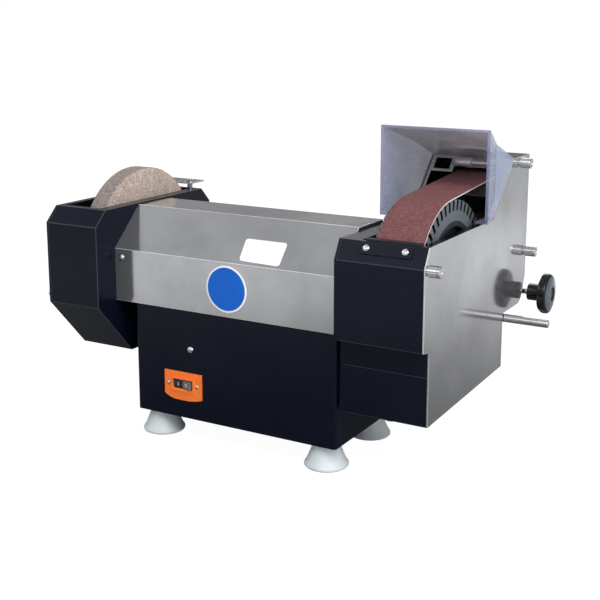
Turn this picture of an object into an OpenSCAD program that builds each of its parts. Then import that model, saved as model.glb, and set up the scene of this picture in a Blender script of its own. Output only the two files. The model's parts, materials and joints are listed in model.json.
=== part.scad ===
// Wet grinding sharpener: one motor spindle with a grinding wheel on the left
// and a rubber contact wheel with an abrasive belt on the right.
// x runs along the spindle, y runs from the operator to the back, z is up.

/* [Cabinet] */
// Width of the cabinet
cabinet_w = 300; // [260:1:360]
// Gap between the motor and the hood's back
hood_back_gap = 16; // [12:1:30]
// Height of the cabinet walls
cabinet_h = 156; // [145:1:175]
// Thickness of the cabinet sheet
cabinet_t = 2; // [1.5:0.5:3]
// Radius of the cabinet's upright corners
corner_r = 4; // [3:0.5:8]
// Width of the inward flange on top of the cabinet
flange_w = 14; // [10:1:18]

/* [Feet] */
// Height of the rubber feet
foot_h = 32; // [24:1:40]
// Diameter of a foot on the table
foot_d = 56; // [44:1:64]
// Diameter of a foot under the cabinet
foot_neck_d = 33; // [24:1:38]
// Distance of the feet from the cabinet's edges
foot_inset = 25; // [22:1:40]
// Diameter of the foot studs
foot_stud_d = 8; // [6:1:10]

/* [Hood] */
// Thickness of the hood sheet
hood_t = 1.5; // [1:0.5:2]
// Overhang of the hood past the cabinet's left side
hood_left = 30.4; // [24:0.2:40]
// Gap between the cabinet and the belt housing
hood_right = 3; // [2:0.5:8]
// Lap of the hood over the cabinet
hood_lap = 10; // [6:1:16]
// Height of the hood's eave over the spindle
eave_rise = 14; // [10:1:20]
// Run of the hood's bevel
hood_run = 53; // [45:1:56]
// Gap between the motor and the hood's top
hood_top_gap = 7; // [5:1:12]

/* [Spindle] */
// Gap between the motor and the hood's front
hood_front_gap = 38; // [34:1:44]
// Height of the spindle over the cabinet's top
spindle_rise = 46; // [42:1:60]
// Diameter of the spindle
spindle_d = 20; // [16:1:24]
// Radial clearance of a running fit
running_fit = 0.05; // [0.02:0.01:0.1]

/* [Motor] */
// Outer diameter of the motor housing
motor_d = 116; // [104:1:116]
// Length of the motor housing between its end shields
motor_len = 160; // [130:1:180]
// Wall of the motor housing
motor_wall = 8; // [5:1:10]
// Thickness of an end shield
shield_t = 14; // [12:1:18]
// Outer diameter of the rotor
rotor_d = 63; // [54:1:68]
// Radial air gap between rotor and stator
air_gap = 0.5; // [0.3:0.1:1]
// Outer diameter of the motor bearings
bearing_d = 47; // [42:1:52]
// Thickness of the chassis plate and end frames
chassis_t = 4; // [3:1:6]
// Width of the lip around an end frame
frame_lip = 18; // [16:1:24]
// Diameter of the bolts that hold the guard and the belt housing
bolt_d = 8; // [6:1:10]

/* [Grinding wheel] */
// Diameter of the grinding wheel
stone_d = 216; // [180:1:222]
// Width of the grinding wheel
stone_w = 26; // [16:1:30]
// Distance from the guard's outer face to the wheel's centre plane
stone_x = 49.5; // [46:0.5:50]
// Diameter of the clamping flanges
flange_d = 64; // [50:1:80]
// Thickness of a clamping flange
flange_t = 6; // [4:1:8]
// Diameter over the spindle nuts
nut_d = 32; // [28:1:36]
// Thickness of the spindle nuts
nut_t = 10; // [8:1:12]

/* [Wheel guard] */
// Width of the wheel guard
wguard_w = 84; // [80:1:92]
// Gap between the grinding wheel and the guard's front
wguard_front_gap = 25; // [20:1:32]
// Gap between the grinding wheel and the guard's back
wguard_back_gap = 16; // [12:1:28]
// Height of the guard's top over the spindle
wguard_over = 67; // [62:1:76]
// Gap between the grinding wheel and the guard's underside
wguard_low_gap = 25; // [18:1:32]
// Depth of the guard's lower eaves below the spindle
wguard_eave_drop = 60.5; // [52:0.5:72]
// Run of the guard's lower slopes
wguard_run = 66; // [56:1:70]
// Size of the bevels along the guard's top
wguard_bevel = 20; // [12:1:26]
// Wall of the wheel guard
wguard_t = 3; // [2:0.5:4]
// Margin of the top opening on the outer side
open_left = 8.5; // [6:0.5:12]
// Margin of the top opening on the hood's side
open_right = 15.5; // [12:0.5:20]
// Margin of the top opening in front
open_front = 29; // [24:1:34]
// Margin of the top opening behind
open_back = 28; // [24:1:34]
// Length of the splash plate
splash_l = 34; // [26:1:40]
// Height of the spacers under the splash plate
splash_h = 8; // [6:1:12]

/* [Belt housing] */
// Width of the belt housing
housing_w = 114.8; // [112:0.2:124]
// Length of the housing's flat top
top_l = 65; // [62:1:80]
// Rise of the slope
slope_rise = 70; // [66:1:80]
// Height of the lower top over the spindle
deck_rise = 61; // [56:1:64]
// Gap between the contact wheel and the foot of the slope
slope_gap = 8; // [6:1:12]
// Run of the slope
slope_run = 66; // [62:1:70]
// Gap between the contact wheel and the housing's underside
trough_gap = 52; // [44:1:60]
// Length of the overhang behind the trough
overhang_l = 85; // [80:1:92]
// Depth of the overhang's underside below the spindle
overhang_drop = 73; // [71:1:76]
// Gap between the belt and the front cover
front_gap = 3.25; // [2.5:0.25:6]
// Sheet of the housing covers
shell_t = 2; // [1.5:0.5:2.5]
// Thickness of the housing's inner wall
wall_t = 3; // [2:0.5:4]
// Thickness of the side cover
cover_t = 1.5; // [1:0.5:2]
// Margin of the deck opening beside the belt housing's inner wall
deck_left = 28; // [26:1:29]
// Margin of the deck opening beside the side cover
deck_right = 9; // [8:0.5:10]
// Diameter of the cover studs
stud_d = 6; // [4:1:6]
// Diameter of the knurled nuts
knurl_d = 14; // [12:1:18]
// Length of the knurled nuts
knurl_l = 17; // [12:1:22]

/* [Belt drive] */
// Diameter of the contact wheel
contact_d = 200; // [190:1:202]
// Width of the contact wheel
contact_w = 64; // [62:1:70]
// Radial thickness of the contact wheel's rubber
tyre_t = 26; // [18:1:30]
// Number of slots in the rubber
tyre_slots = 48; // [24:1:60]
// Depth of the slots in the rubber
slot_depth = 12; // [6:1:14]
// Width of the slots in the rubber
slot_w = 4.6; // [2:0.2:6]
// Width of the abrasive belt
belt_w = 60; // [50:1:62]
// Thickness of the abrasive belt
belt_t = 1.5; // [1:0.1:2]
// Gap between the belt and the wheels it runs on
belt_gap = 0.25; // [0.2:0.05:0.4]
// Distance of the belt from the side cover's outer face
belt_margin = 12.8; // [11:0.2:15]
// Diameter of the idler roller
idler_d = 60; // [50:1:62]
// Width of the idler roller
idler_w = 64; // [62:1:66]
// Distance of the idler's axle behind the head of the slope
idler_back = 20; // [16:1:24]
// Height of the idler's axle over the spindle
idler_rise = 83; // [78:1:85]
// Diameter of the idler's axle
axle_d = 12; // [10:1:14]

/* [Belt tension and tracking] */
// Distance of the arm's pivot behind the head of the slope
pivot_back = 30; // [28:1:32]
// Depth of the arm's pivot below the spindle
pivot_drop = 32; // [28:1:34]
// Diameter of the arm's pivot pin
pivot_d = 12; // [10:1:14]
// Thickness of the tension arm
arm_t = 6; // [5:1:7]
// Thickness of the tracking yoke
yoke_t = 6; // [5:1:7]
// Diameter of the tension lever
rod_d = 11; // [8:1:12]
// Reach of the tension lever past the side cover
rod_reach = 60; // [40:1:90]
// Distance of the tension lever behind the trough
rod_back = 8; // [6:1:12]
// Depth of the tension lever below the overhang
rod_drop = 8; // [7:1:13]
// Distance of the tracking screw behind the housing's back
screw_back = 2; // [1:1:7]
// Height of the tracking screw over the overhang
screw_rise = 12; // [9:1:15]
// Diameter of the tracking screw
screw_d = 8; // [6:1:9]
// Diameter of the tracking knob
knob_d = 56; // [44:1:64]
// Length of the tracking knob's hub
hub_l = 18; // [12:1:24]
// Thickness of the tracking knob's grip
grip_t = 15.5; // [13:0.5:24]
// Diameter of the tracking knob's hub
hub_d = 24; // [18:1:30]
// Wire of the tension spring
wire_d = 1.6; // [1.2:0.1:2]

/* [Clear guard] */
// Wall of the clear guard
pane_t = 3; // [2:0.5:4]
// Reach of the front rim before the foot of the slope
rim_reach = 64; // [54:1:74]
// Height of the front rim's lower edge over the lower top
rim_lift = 5; // [3:1:10]
// Height of the front rim
rim_h = 114.5; // [100:0.5:130]
// Flare of the front rim on each side
rim_flare = 15; // [8:1:22]

/* [Switch] */
// Distance from the cabinet's left side to the switch
switch_x = 76; // [60:1:120]
// Height of the switch over the cabinet's underside
switch_h = 46; // [42:1:70]
// Width of the switch plate
switch_w = 58; // [50:1:64]
// Height of the switch plate above the bulge at its lower edge
switch_plate_h = 33; // [30:1:38]
// Width of the rocker
rocker_w = 28; // [24:1:30]
// Height of the rocker
rocker_h = 10; // [8:1:13]

/* [Hidden] */
$fn = 64;

// The spindle's place decides most others
spindle_y = motor_d / 2 + hood_front_gap;
spindle_h = cabinet_h + spindle_rise;
hood_d = spindle_y + motor_d / 2 + hood_back_gap;

// Places along the spindle
hood_x0 = -hood_left;
hood_x1 = cabinet_w + hood_right;
wguard_x0 = hood_x0 - wguard_w;
wall_x1 = hood_x1 + wall_t;
cover_x1 = hood_x1 + housing_w;
cover_x0 = cover_x1 - cover_t;
belt_x1 = cover_x1 - belt_margin;
belt_x0 = belt_x1 - belt_w;
contact_x1 = belt_x1 + 1;
contact_x0 = contact_x1 - contact_w;
idler_x1 = belt_x1 + 2;
idler_x0 = idler_x1 - idler_w;
stone_mid = wguard_x0 + stone_x;
stone_x0 = stone_mid - stone_w / 2;
stone_x1 = stone_mid + stone_w / 2;
spindle_x0 = stone_x0 - flange_t - nut_t - 2;
hub_recess = 8;
spindle_x1 = contact_x1 - hub_recess + nut_t + 2;

// Places of the hood, measured from the cabinet's underside
hood_z0 = cabinet_h - hood_lap;
hood_eave = spindle_h + eave_rise;
hood_top = spindle_h + motor_d / 2 + hood_top_gap;
frame_z0 = cabinet_h;

// Cabinet fittings
vent_z0 = 70;
vent_drop = 36;
gland_in = 50;
gland_z = 40;
gland_hole_d = 16.4;
capacitor_d = 45;
capacitor_h = 90;

// Motor, centred over the cabinet
cradle_t = 8;
cradle_in = 20;
motor_x0 = cabinet_w / 2 - motor_len / 2;
motor_x1 = cabinet_w / 2 + motor_len / 2;
stator_in_d = rotor_d + 2 * air_gap;
seal_d = 2 * spindle_d;
bolt_dy = 45;
bolt_dz = 30;
bolt_head_d = 1.6 * bolt_d;
bolt_head_t = 0.6 * bolt_d;

// Wheel guard
wguard_y0 = spindle_y - stone_d / 2 - wguard_front_gap;
wguard_y1 = spindle_y + stone_d / 2 + wguard_back_gap;
wguard_top = spindle_h + wguard_over;
wguard_low = spindle_h - stone_d / 2 - wguard_low_gap;
wguard_eave = spindle_h - wguard_eave_drop;
guard_cover_x1 = wguard_x0 + wguard_t;
open_x0 = wguard_x0 + open_left;
open_x1 = hood_x0 - open_right;
open_y0 = wguard_y0 + open_front;
open_y1 = wguard_y1 - open_back;
guard_nut_l = 7;
guard_studs = [[wguard_y0 + 10, wguard_eave + 9], [wguard_y1 - 10, wguard_eave + 9],
    [(wguard_y0 + wguard_y1) / 2, wguard_low + wguard_t + 5]];
splash_gap = 8;
splash_slot = 10;
splash_z0 = wguard_top + splash_h;
splash_y0 = spindle_y + sqrt(pow(stone_d / 2, 2) - pow(splash_z0 - spindle_h, 2)) + splash_gap;
splash_screw_y = open_y1 + 5;
splash_x = [stone_mid - 16, stone_mid + 16];
splash_t = 2;

// Belt housing and the wheels in it
front_y = spindle_y - contact_d / 2 - belt_gap - belt_t - front_gap - shell_t;
slope_y0 = spindle_y + contact_d / 2 + slope_gap;
slope_y1 = slope_y0 + slope_run;
housing_back = slope_y1 + top_l;
deck_z = spindle_h + deck_rise;
housing_top = deck_z + slope_rise;
trough_z = spindle_h - contact_d / 2 - trough_gap;
trough_back = housing_back - overhang_l;
overhang_z = spindle_h - overhang_drop;
idler_y = slope_y1 + idler_back;
idler_h = spindle_h + idler_rise;
pivot_y = slope_y1 + pivot_back;
pivot_h = spindle_h - pivot_drop;
rod_y = trough_back + rod_back;
rod_h = overhang_z - rod_drop;
screw_y = housing_back + screw_back;
screw_h = overhang_z + screw_rise;
step_z = overhang_z + 11;
chamfer_z = deck_z - 23;
chamfer_y = 13;
panel_y = front_y + 16;
bevel_y = 15;
bevel_z = 36;
trough_rise = 6;
deck_x0 = hood_x1 + deck_left;
deck_x1 = cover_x0 - deck_right;
slope_a = atan2(housing_top - deck_z, slope_y1 - slope_y0);
slope_x0 = wall_x1 + 3;
slope_x1 = cover_x0 - 7;
slope_cut_low = deck_z + 50;
slope_cut_high = deck_z + 57;
slope_step_x = belt_x0 - 5;
cover_stud_at = [[front_y + shell_t + stud_d / 2 + 1.3, chamfer_z - 2],
    [idler_y + 4, housing_top - shell_t - stud_d / 2 - 2.5],
    [housing_back - shell_t - stud_d / 2 - 2, spindle_h - 2]];
hole_gap = 0.3;

// Tension arm and tracking yoke
arm_x1 = wall_x1 + 18;
arm_x0 = arm_x1 - arm_t;
yoke_x0 = arm_x1 + 3;
yoke_x1 = yoke_x0 + yoke_t;
tilt_x = (yoke_x0 + yoke_x1) / 2;
tilt_z = idler_h - 35;
tilt_pin_d = 6;
tilt_hub_d = yoke_t + 6;
tilt_hub_l = 24;
ear_t = 7;
ear_gap = 0.6;
arm_r = 9;
yoke_r = 7;
rod_x1 = cover_x1 + rod_reach;
collar_x0 = yoke_x1 + 1.8;
knob_x0 = cover_x1 + 6;
knob_x1 = knob_x0 + hub_l + grip_t;
spring_y = pivot_y - 32;
spring_d = 9;
spring_x = wall_x1 + 5.5;
spring_z0 = overhang_z + shell_t + 0.3;
spring_z1 = pivot_h - 8;

// Clear guard and its hinge
rim_y = slope_y0 - rim_reach;
rim_low = deck_z + rim_lift;
rim_top = rim_low + rim_h;
guard_x0 = hood_x1;
guard_x1 = cover_x1;
guard_lift = 1;
hinge_y = slope_y1 + 3.5;
hinge_z = housing_top + 3.5;
hinge_d = 6;
hinge_pin_d = 3;
hinge_x0 = guard_x0 + 12;
hinge_x1 = guard_x1 - 12;
hinge_leaf = 18;
top_a = atan2(rim_top - housing_top - guard_lift, slope_y1 - rim_y);

// Switch
switch_t = 2.5;
switch_body_d = 30;
rocker_z = switch_h;
rocker_pivot_y = 4;
rocker_gap = 1.2;
rocker_tilt = 7;

// The origin is the middle of the underside of the whole machine
x_min = wguard_x0 - guard_nut_l;
x_max = max(rod_x1, knob_x1);
y_min = wguard_y0;
y_max = screw_y + knob_d / 2;
mid_x = (x_min + x_max) / 2;
mid_y = (y_min + y_max) / 2;

module place()
    translate([-mid_x, -mid_y, foot_h]) children();

// A profile of y and z drawn out along x
module along_x(x0, x1)
    translate([x0, 0, 0]) rotate([90, 0, 90]) linear_extrude(x1 - x0) children();

module rod_along_x(x0, x1, d, y, z)
    translate([x0, y, z]) rotate([0, 90, 0]) cylinder(d = d, h = x1 - x0);

module rod_along_y(y0, y1, d, x, z)
    translate([x, y0, z]) rotate([-90, 0, 0]) cylinder(d = d, h = y1 - y0);

module ring_along_x(x0, x1, outer, inner, y, z)
    difference() {
        rod_along_x(x0, x1, outer, y, z);
        rod_along_x(x0 - 1, x1 + 1, inner, y, z);
    }

module block(x0, x1, y0, y1, z0, z1)
    translate([x0, y0, z0]) cube([x1 - x0, y1 - y0, z1 - z0]);

// A flat bar with round ends between two points of y and z
module link(p, q, r) {
    u = (q - p) / norm(q - p);
    n = [-u[1], u[0]] * r;
    polygon([p + n, p - n, q - n, q + n]);
    translate(p) circle(r);
    translate(q) circle(r);
}

// The outline moved inward by d, for points that run anticlockwise
function unit(v) = v / norm(v);
function inset_corner(p, q, r, d) =
    let (u = unit(q - p), v = unit(r - q), n = [-u[1], u[0]], m = [-v[1], v[0]])
    q + d / (1 + n * m) * (n + m);
function inset(pts, d) =
    let (c = len(pts))
    [for (i = [0:c - 1]) inset_corner(pts[(i + c - 1) % c], pts[i], pts[(i + 1) % c], d)];

// Points of an arc that rounds the corner q between p and r
function round_corner(p, q, r, radius, steps = 6) =
    let (u = unit(p - q), v = unit(r - q), half = acos(u * v) / 2,
        back = radius / tan(half), mid = q + unit(u + v) * radius / sin(half),
        a = q + u * back - mid, b = q + v * back - mid)
    [for (i = [0:steps])
        mid + (a * sin((1 - i / steps) * (180 - 2 * half))
            + b * sin(i / steps * (180 - 2 * half))) / sin(180 - 2 * half)];

hood_outline = [[0, hood_z0 - 5], [hood_d, hood_z0 - 5], [hood_d, hood_eave],
    [hood_d - hood_run, hood_top], [hood_run, hood_top], [0, hood_eave]];
hood_inner = inset(hood_outline, hood_t);

wguard_outline = [[wguard_y0 + wguard_run, wguard_low], [wguard_y1 - wguard_run, wguard_low],
    [wguard_y1, wguard_eave], [wguard_y1, wguard_top - wguard_bevel],
    [wguard_y1 - wguard_bevel, wguard_top], [wguard_y0 + wguard_bevel, wguard_top],
    [wguard_y0, wguard_top - wguard_bevel], [wguard_y0, wguard_eave]];

bevel_corner = [housing_back - bevel_y, overhang_z];
housing_outline = concat(
    [[panel_y, trough_z], [trough_back, trough_z + trough_rise], [trough_back, overhang_z]],
    round_corner([trough_back, overhang_z], bevel_corner,
        [housing_back, overhang_z + bevel_z], 20),
    [[housing_back, overhang_z + bevel_z], [housing_back, housing_top],
        [slope_y1, housing_top], [slope_y0, deck_z], [front_y + chamfer_y, deck_z],
        [front_y, chamfer_z], [front_y, step_z + 3], [panel_y, step_z]]);

module cabinet_plan(d)
    polygon(let (x0 = d, x1 = cabinet_w - d, y0 = hood_t + d, y1 = hood_d - hood_t - d,
        r = max(corner_r - d, 0.5), c = [[x0, y0], [x1, y0], [x1, y1], [x0, y1]])
        [for (i = [0:3]) each round_corner(c[(i + 3) % 4], c[i], c[(i + 1) % 4], r)]);

module foot_places()
    for (x = [foot_inset, cabinet_w - foot_inset], y = [foot_inset, hood_d - foot_inset])
        translate([x, y, 0]) children();

module cabinet() {
    place() color("#1c1f28") difference() {
        linear_extrude(cabinet_h) cabinet_plan(0);
        translate([0, 0, cabinet_t]) linear_extrude(cabinet_h - 2 * cabinet_t)
            cabinet_plan(cabinet_t);
        translate([0, 0, cabinet_h - 2 * cabinet_t]) linear_extrude(4 * cabinet_t)
            cabinet_plan(flange_w);
        foot_places() translate([0, 0, -1]) cylinder(d = foot_stud_d + 0.4, h = cabinet_t + 2);
        block(switch_x - rocker_w / 2 - 3, switch_x + rocker_w / 2 + 3, 0, hood_t + cabinet_t + 1,
            rocker_z - rocker_h / 2 - 3, rocker_z + rocker_h / 2 + 3);
        rod_along_y(hood_d - hood_t - cabinet_t - 1, hood_d + 1, gland_hole_d, cabinet_w - gland_in, gland_z);
        for (i = [0:7])
            block(60 + 9 * i, 64 + 9 * i, hood_d - hood_t - cabinet_t - 1, hood_d + 1, vent_z0, cabinet_h - vent_drop);
    }
}

module feet() {
    neck = foot_neck_d / 2;
    base = foot_d / 2;
    flare = [for (i = [0:8]) [neck + (base - neck) * (1 - cos(i * 90 / 8)),
        foot_h - 6 - (foot_h - 12) * sin(i * 90 / 8)]];
    place() color("#c9ced0") foot_places() translate([0, 0, -foot_h]) difference() {
        rotate_extrude() polygon(concat([[0, 0], [0, foot_h], [neck, foot_h]], flare,
            [[base, 3], [base - 1.5, 0]]));
        translate([0, 0, foot_h - 14]) cylinder(d = foot_stud_d + 0.2, h = 15);
        translate([0, 0, -1]) cylinder(d = foot_neck_d * 0.6, h = 7);
    }
}

module foot_studs() {
    place() color("silver") foot_places() {
        translate([0, 0, -13]) cylinder(d = foot_stud_d, h = cabinet_t + 24);
        translate([0, 0, cabinet_t]) difference() {
            cylinder(d = 1.9 * foot_stud_d, h = 0.8 * foot_stud_d, $fn = 6);
            translate([0, 0, -1]) cylinder(d = foot_stud_d - 0.02, h = foot_stud_d + 2);
        }
    }
}

module chassis_plate() {
    place() color("#2a2d33") difference() {
        block(hood_x0 + chassis_t, hood_x1 - chassis_t, hood_t + 1, hood_d - hood_t - 1,
            frame_z0, frame_z0 + chassis_t);
        block(motor_x0 - shield_t - 8, motor_x1 + shield_t + 8, spindle_y - motor_d / 2 - 4,
            spindle_y + motor_d / 2 + 4, frame_z0 - 1, frame_z0 + chassis_t + 1);
    }
}

module bolt_places(x)
    for (y = [spindle_y - bolt_dy, spindle_y + bolt_dy], z = [spindle_h - bolt_dz, spindle_h + bolt_dz])
        translate([x, y, z]) children();

// An end frame fills the hood's section; its lip points to the motor
module end_frame(x0, lip_x0, lip_x1) {
    frame_outline = [for (p = hood_inner) [p[0], max(p[1], frame_z0)]];
    difference() {
        union() {
            along_x(x0, x0 + chassis_t) polygon(frame_outline);
            along_x(lip_x0, lip_x1) difference() {
                polygon(frame_outline);
                polygon([for (p = inset(frame_outline, 2)) [p[0], p[1] <= frame_z0 + 2 ? frame_z0 - 1 : p[1]]]);
            }
        }
        rod_along_x(x0 - 1, x0 + chassis_t + 1, seal_d, spindle_y, spindle_h);
        bolt_places(x0 - 1) rotate([0, 90, 0]) cylinder(d = bolt_d, h = chassis_t + 2);
        for (p = hood_screw_at) rod_along_y(p[1] - 8, p[1] + 8, hood_screw_d, p[0], p[2]);
        translate([lip_x0 - 1, 0, frame_z0 - 1]) cube([lip_x1 - lip_x0 + 2, hood_d, chassis_t + 1]);
    }
    block(x0, x0 + chassis_t, hood_t + 1, hood_d - hood_t - 1, frame_z0, frame_z0 + chassis_t + 1);
}

module end_frame_left()
    place() color("#2a2d33") end_frame(hood_x0, hood_x0 + chassis_t, hood_x0 + frame_lip);

module end_frame_right()
    place() color("#2a2d33") end_frame(hood_x1 - chassis_t, hood_x1 - frame_lip, hood_x1 - chassis_t);

module motor_cradle() {
    place() color("#3a3d42") for (x = [motor_x0 + cradle_in, motor_x1 - cradle_in - cradle_t]) difference() {
        union() {
            block(x, x + 8, hood_t + 12, hood_d - hood_t - 6, frame_z0 + chassis_t, spindle_h - 14);
            block(x - 8, x + 16, hood_t + 12, spindle_y - motor_d / 2 - 5, frame_z0 + chassis_t,
                frame_z0 + chassis_t + 6);
            block(x - 8, x + 16, spindle_y + motor_d / 2 + 5, hood_d - hood_t - 3, frame_z0 + chassis_t,
                frame_z0 + chassis_t + 6);
        }
        rod_along_x(x - 10, x + 18, motor_d, spindle_y, spindle_h);
    }
}

module motor_housing()
    place() color("#5b6068")
        ring_along_x(motor_x0, motor_x1, motor_d, motor_d - 2 * motor_wall, spindle_y, spindle_h);

module stator()
    place() color("#9a5b35")
        ring_along_x(motor_x0 + 15, motor_x1 - 15, motor_d - 2 * motor_wall, stator_in_d,
            spindle_y, spindle_h);

module end_shields() {
    place() color("#5b6068") {
        ring_along_x(motor_x0 - shield_t, motor_x0, motor_d, bearing_d, spindle_y, spindle_h);
        ring_along_x(motor_x1, motor_x1 + shield_t, motor_d, bearing_d, spindle_y, spindle_h);
    }
}

module motor_bearings() {
    place() color("silver") {
        ring_along_x(motor_x0 - shield_t, motor_x0, bearing_d, spindle_d + 2 * running_fit,
            spindle_y, spindle_h);
        ring_along_x(motor_x1, motor_x1 + shield_t, bearing_d, spindle_d + 2 * running_fit,
            spindle_y, spindle_h);
    }
}

module capacitor() {
    place() color("#d7d7d2") {
        translate([cabinet_w / 2, hood_d / 2, cabinet_t]) cylinder(d = capacitor_d, h = capacitor_h);
        block(cabinet_w / 2 - 30, cabinet_w / 2 + 30, hood_d / 2 - 12, hood_d / 2 + 12,
            cabinet_t, cabinet_t + 3);
    }
}

module shaft_seals() {
    place() color("#26282c") {
        ring_along_x(hood_x0 - wguard_t, hood_x0 + chassis_t, seal_d, spindle_d + 2 * running_fit,
            spindle_y, spindle_h);
        ring_along_x(hood_x1 - chassis_t, wall_x1, seal_d, spindle_d + 2 * running_fit,
            spindle_y, spindle_h);
    }
}

module spindle() {
    place() color("silver") {
        rod_along_x(spindle_x0, spindle_x1, spindle_d, spindle_y, spindle_h);
        rod_along_x(stone_x1 + flange_t, hood_x0 - wguard_t - 1, spindle_d + 8, spindle_y, spindle_h);
        rod_along_x(wall_x1 + 1, contact_x0 + hub_recess, spindle_d + 8, spindle_y, spindle_h);
    }
}

module rotor()
    place() color("#80858b")
        ring_along_x(motor_x0 + 15, motor_x1 - 15, rotor_d, spindle_d, spindle_y, spindle_h);

module grinding_wheel() {
    place() color("#9b8a7a") difference() {
        translate([stone_x0, spindle_y, spindle_h]) rotate([0, 90, 0]) rotate_extrude($fn = 128)
            polygon([[spindle_d / 2, 0], [stone_d / 2 - 1.5, 0], [stone_d / 2, 1.5],
                [stone_d / 2, stone_w - 1.5], [stone_d / 2 - 1.5, stone_w], [spindle_d / 2, stone_w]]);
    }
}

module wheel_flanges() {
    place() color("silver") {
        ring_along_x(stone_x0 - flange_t, stone_x0, flange_d, spindle_d, spindle_y, spindle_h);
        ring_along_x(stone_x1, stone_x1 + flange_t, flange_d, spindle_d, spindle_y, spindle_h);
    }
}

module spindle_nuts() {
    place() color("silver") for (x = [stone_x0 - flange_t - nut_t, contact_x1 - hub_recess])
        difference() {
            translate([x, spindle_y, spindle_h]) rotate([0, 90, 0]) cylinder(d = nut_d, h = nut_t, $fn = 6);
            rod_along_x(x - 1, x + nut_t + 1, spindle_d, spindle_y, spindle_h);
        }
}

module contact_hub() {
    rim_d = contact_d - 2 * tyre_t;
    place() color("#3b3e44") difference() {
        union() {
            ring_along_x(contact_x0, contact_x1, rim_d, rim_d - 12, spindle_y, spindle_h);
            rod_along_x(contact_x0 + hub_recess, contact_x1 - hub_recess, rim_d - 11, spindle_y, spindle_h);
        }
        rod_along_x(contact_x0 - 1, contact_x1 + 1, spindle_d, spindle_y, spindle_h);
    }
}

module contact_tyre() {
    place() color("#6f7880") difference() {
        ring_along_x(contact_x0, contact_x1, contact_d, contact_d - 2 * tyre_t, spindle_y, spindle_h);
        for (i = [0:tyre_slots - 1])
            translate([contact_x0 - 1, spindle_y, spindle_h]) rotate([360 * i / tyre_slots, 0, 0])
                translate([0, contact_d / 2 - slot_depth, -slot_w / 2])
                    cube([contact_w + 2, slot_depth + 5, slot_w]);
    }
}

module hood() {
    place() color("#b9bcc0") difference() {
        along_x(hood_x0, hood_x1) difference() {
            polygon(hood_outline);
            polygon([for (p = hood_inner) [p[0], p[1] < hood_z0 ? hood_z0 - 20 : p[1]]]);
        }
        block(hood_x0 - 1, hood_x1 + 1, -1, hood_d + 1, hood_z0 - 10, hood_z0);
        for (p = hood_screw_at) rod_along_y(p[1] - 4, p[1] + 4, hood_screw_d + 0.2, p[0], p[2]);
    }
}

hood_screw_z = hood_eave - 11;
hood_screw_d = 4;
hood_screw_at = [[hood_x0 + 10.4, 0, hood_screw_z], [hood_x0 + 10.4, hood_d, hood_screw_z],
    [hood_x1 - 10.4, hood_d, hood_screw_z]];

module hood_screws() {
    place() color("silver") for (p = hood_screw_at) {
        s = p[1] == 0 ? 1 : -1;
        translate([p[0], p[1], p[2]]) rotate([s * 90, 0, 0]) {
            cylinder(d1 = 9, d2 = 5, h = 2.4);
            translate([0, 0, -hood_t - 1]) cylinder(d = hood_screw_d, h = hood_t + 1);
        }
    }
}

module wheel_guard() {
    place() color("#181b24") difference() {
        along_x(guard_cover_x1, hood_x0) polygon(wguard_outline);
        along_x(guard_cover_x1 - 1, hood_x0 - wguard_t) polygon(inset(wguard_outline, wguard_t));
        block(open_x0, open_x1, open_y0, open_y1, wguard_top - wguard_t - 1, wguard_top + 1);
        rod_along_x(hood_x0 - wguard_t - 1, hood_x0 + 1, seal_d, spindle_y, spindle_h);
        bolt_places(hood_x0 - wguard_t - 1) rotate([0, 90, 0]) cylinder(d = bolt_d, h = wguard_t + 2);
        translate([stone_mid, spindle_y, wguard_low - 1]) cylinder(d = plug_d, h = wguard_t + 2);
    }
}

module guard_cover() {
    place() color("#1d212b") difference() {
        along_x(wguard_x0, guard_cover_x1) polygon(wguard_outline);
        for (p = guard_studs) rod_along_x(wguard_x0 - 1, guard_cover_x1 + 1, stud_d + 0.4, p[0], p[1]);
    }
}

module guard_nuts() {
    place() color("silver") for (p = guard_studs) {
        rod_along_x(wguard_x0, hood_x0 - wguard_t, stud_d, p[0], p[1]);
        rod_along_x(wguard_x0 - guard_nut_l, wguard_x0, 9, p[0], p[1]);
    }
}

module guard_bolts() {
    place() color("#8d9096") {
        bolt_places(hood_x0 - wguard_t) rotate([0, 90, 0]) {
            translate([0, 0, -bolt_head_t]) cylinder(d = bolt_head_d, h = bolt_head_t);
            cylinder(d = bolt_d, h = wguard_t + chassis_t + 8);
        }
        bolt_places(wall_x1) rotate([0, 90, 0]) {
            cylinder(d = bolt_head_d, h = bolt_head_t);
            translate([0, 0, -wall_t - chassis_t - 8]) cylinder(d = bolt_d, h = wall_t + chassis_t + 8);
        }
    }
}

module splash_spacers() {
    place() color("silver") for (x = splash_x) {
        translate([x, splash_screw_y, wguard_top]) cylinder(d = 8, h = splash_h);
        translate([x, splash_screw_y, splash_z0]) cylinder(d = 4, h = splash_t + 2);
        translate([x, splash_screw_y, splash_z0 + splash_t + 0.2]) cylinder(d = 9, h = 2.5);
    }
}

module splash_plate() {
    place() color("#cfd2d5") difference() {
        block(stone_mid - 28, stone_mid + 28, splash_y0, splash_y0 + splash_l, splash_z0, splash_z0 + splash_t);
        for (x = splash_x)
            block(x - 2.3, x + 2.3, splash_screw_y - splash_slot, splash_screw_y + splash_slot,
                splash_z0 - 1, splash_z0 + splash_t + 1);
    }
}

plug_d = 12;
plug_head = 18;
trough_plug = [(wall_x1 + cover_x0) / 2, panel_y + 25];
trough_slope = trough_rise / (trough_back - panel_y);
module drain_plugs() {
    place() color("#2b2e34") for (p = [[stone_mid, spindle_y, wguard_low, wguard_t],
            [trough_plug[0], trough_plug[1],
                trough_z + trough_slope * (trough_plug[1] - panel_y - plug_head / 2), shell_t]]) {
        translate([p[0], p[1], p[2] - 8]) cylinder(d = plug_head, h = 8);
        translate([p[0], p[1], p[2] - 1]) cylinder(d = plug_d, h = p[3] + 1);
    }
}

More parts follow.
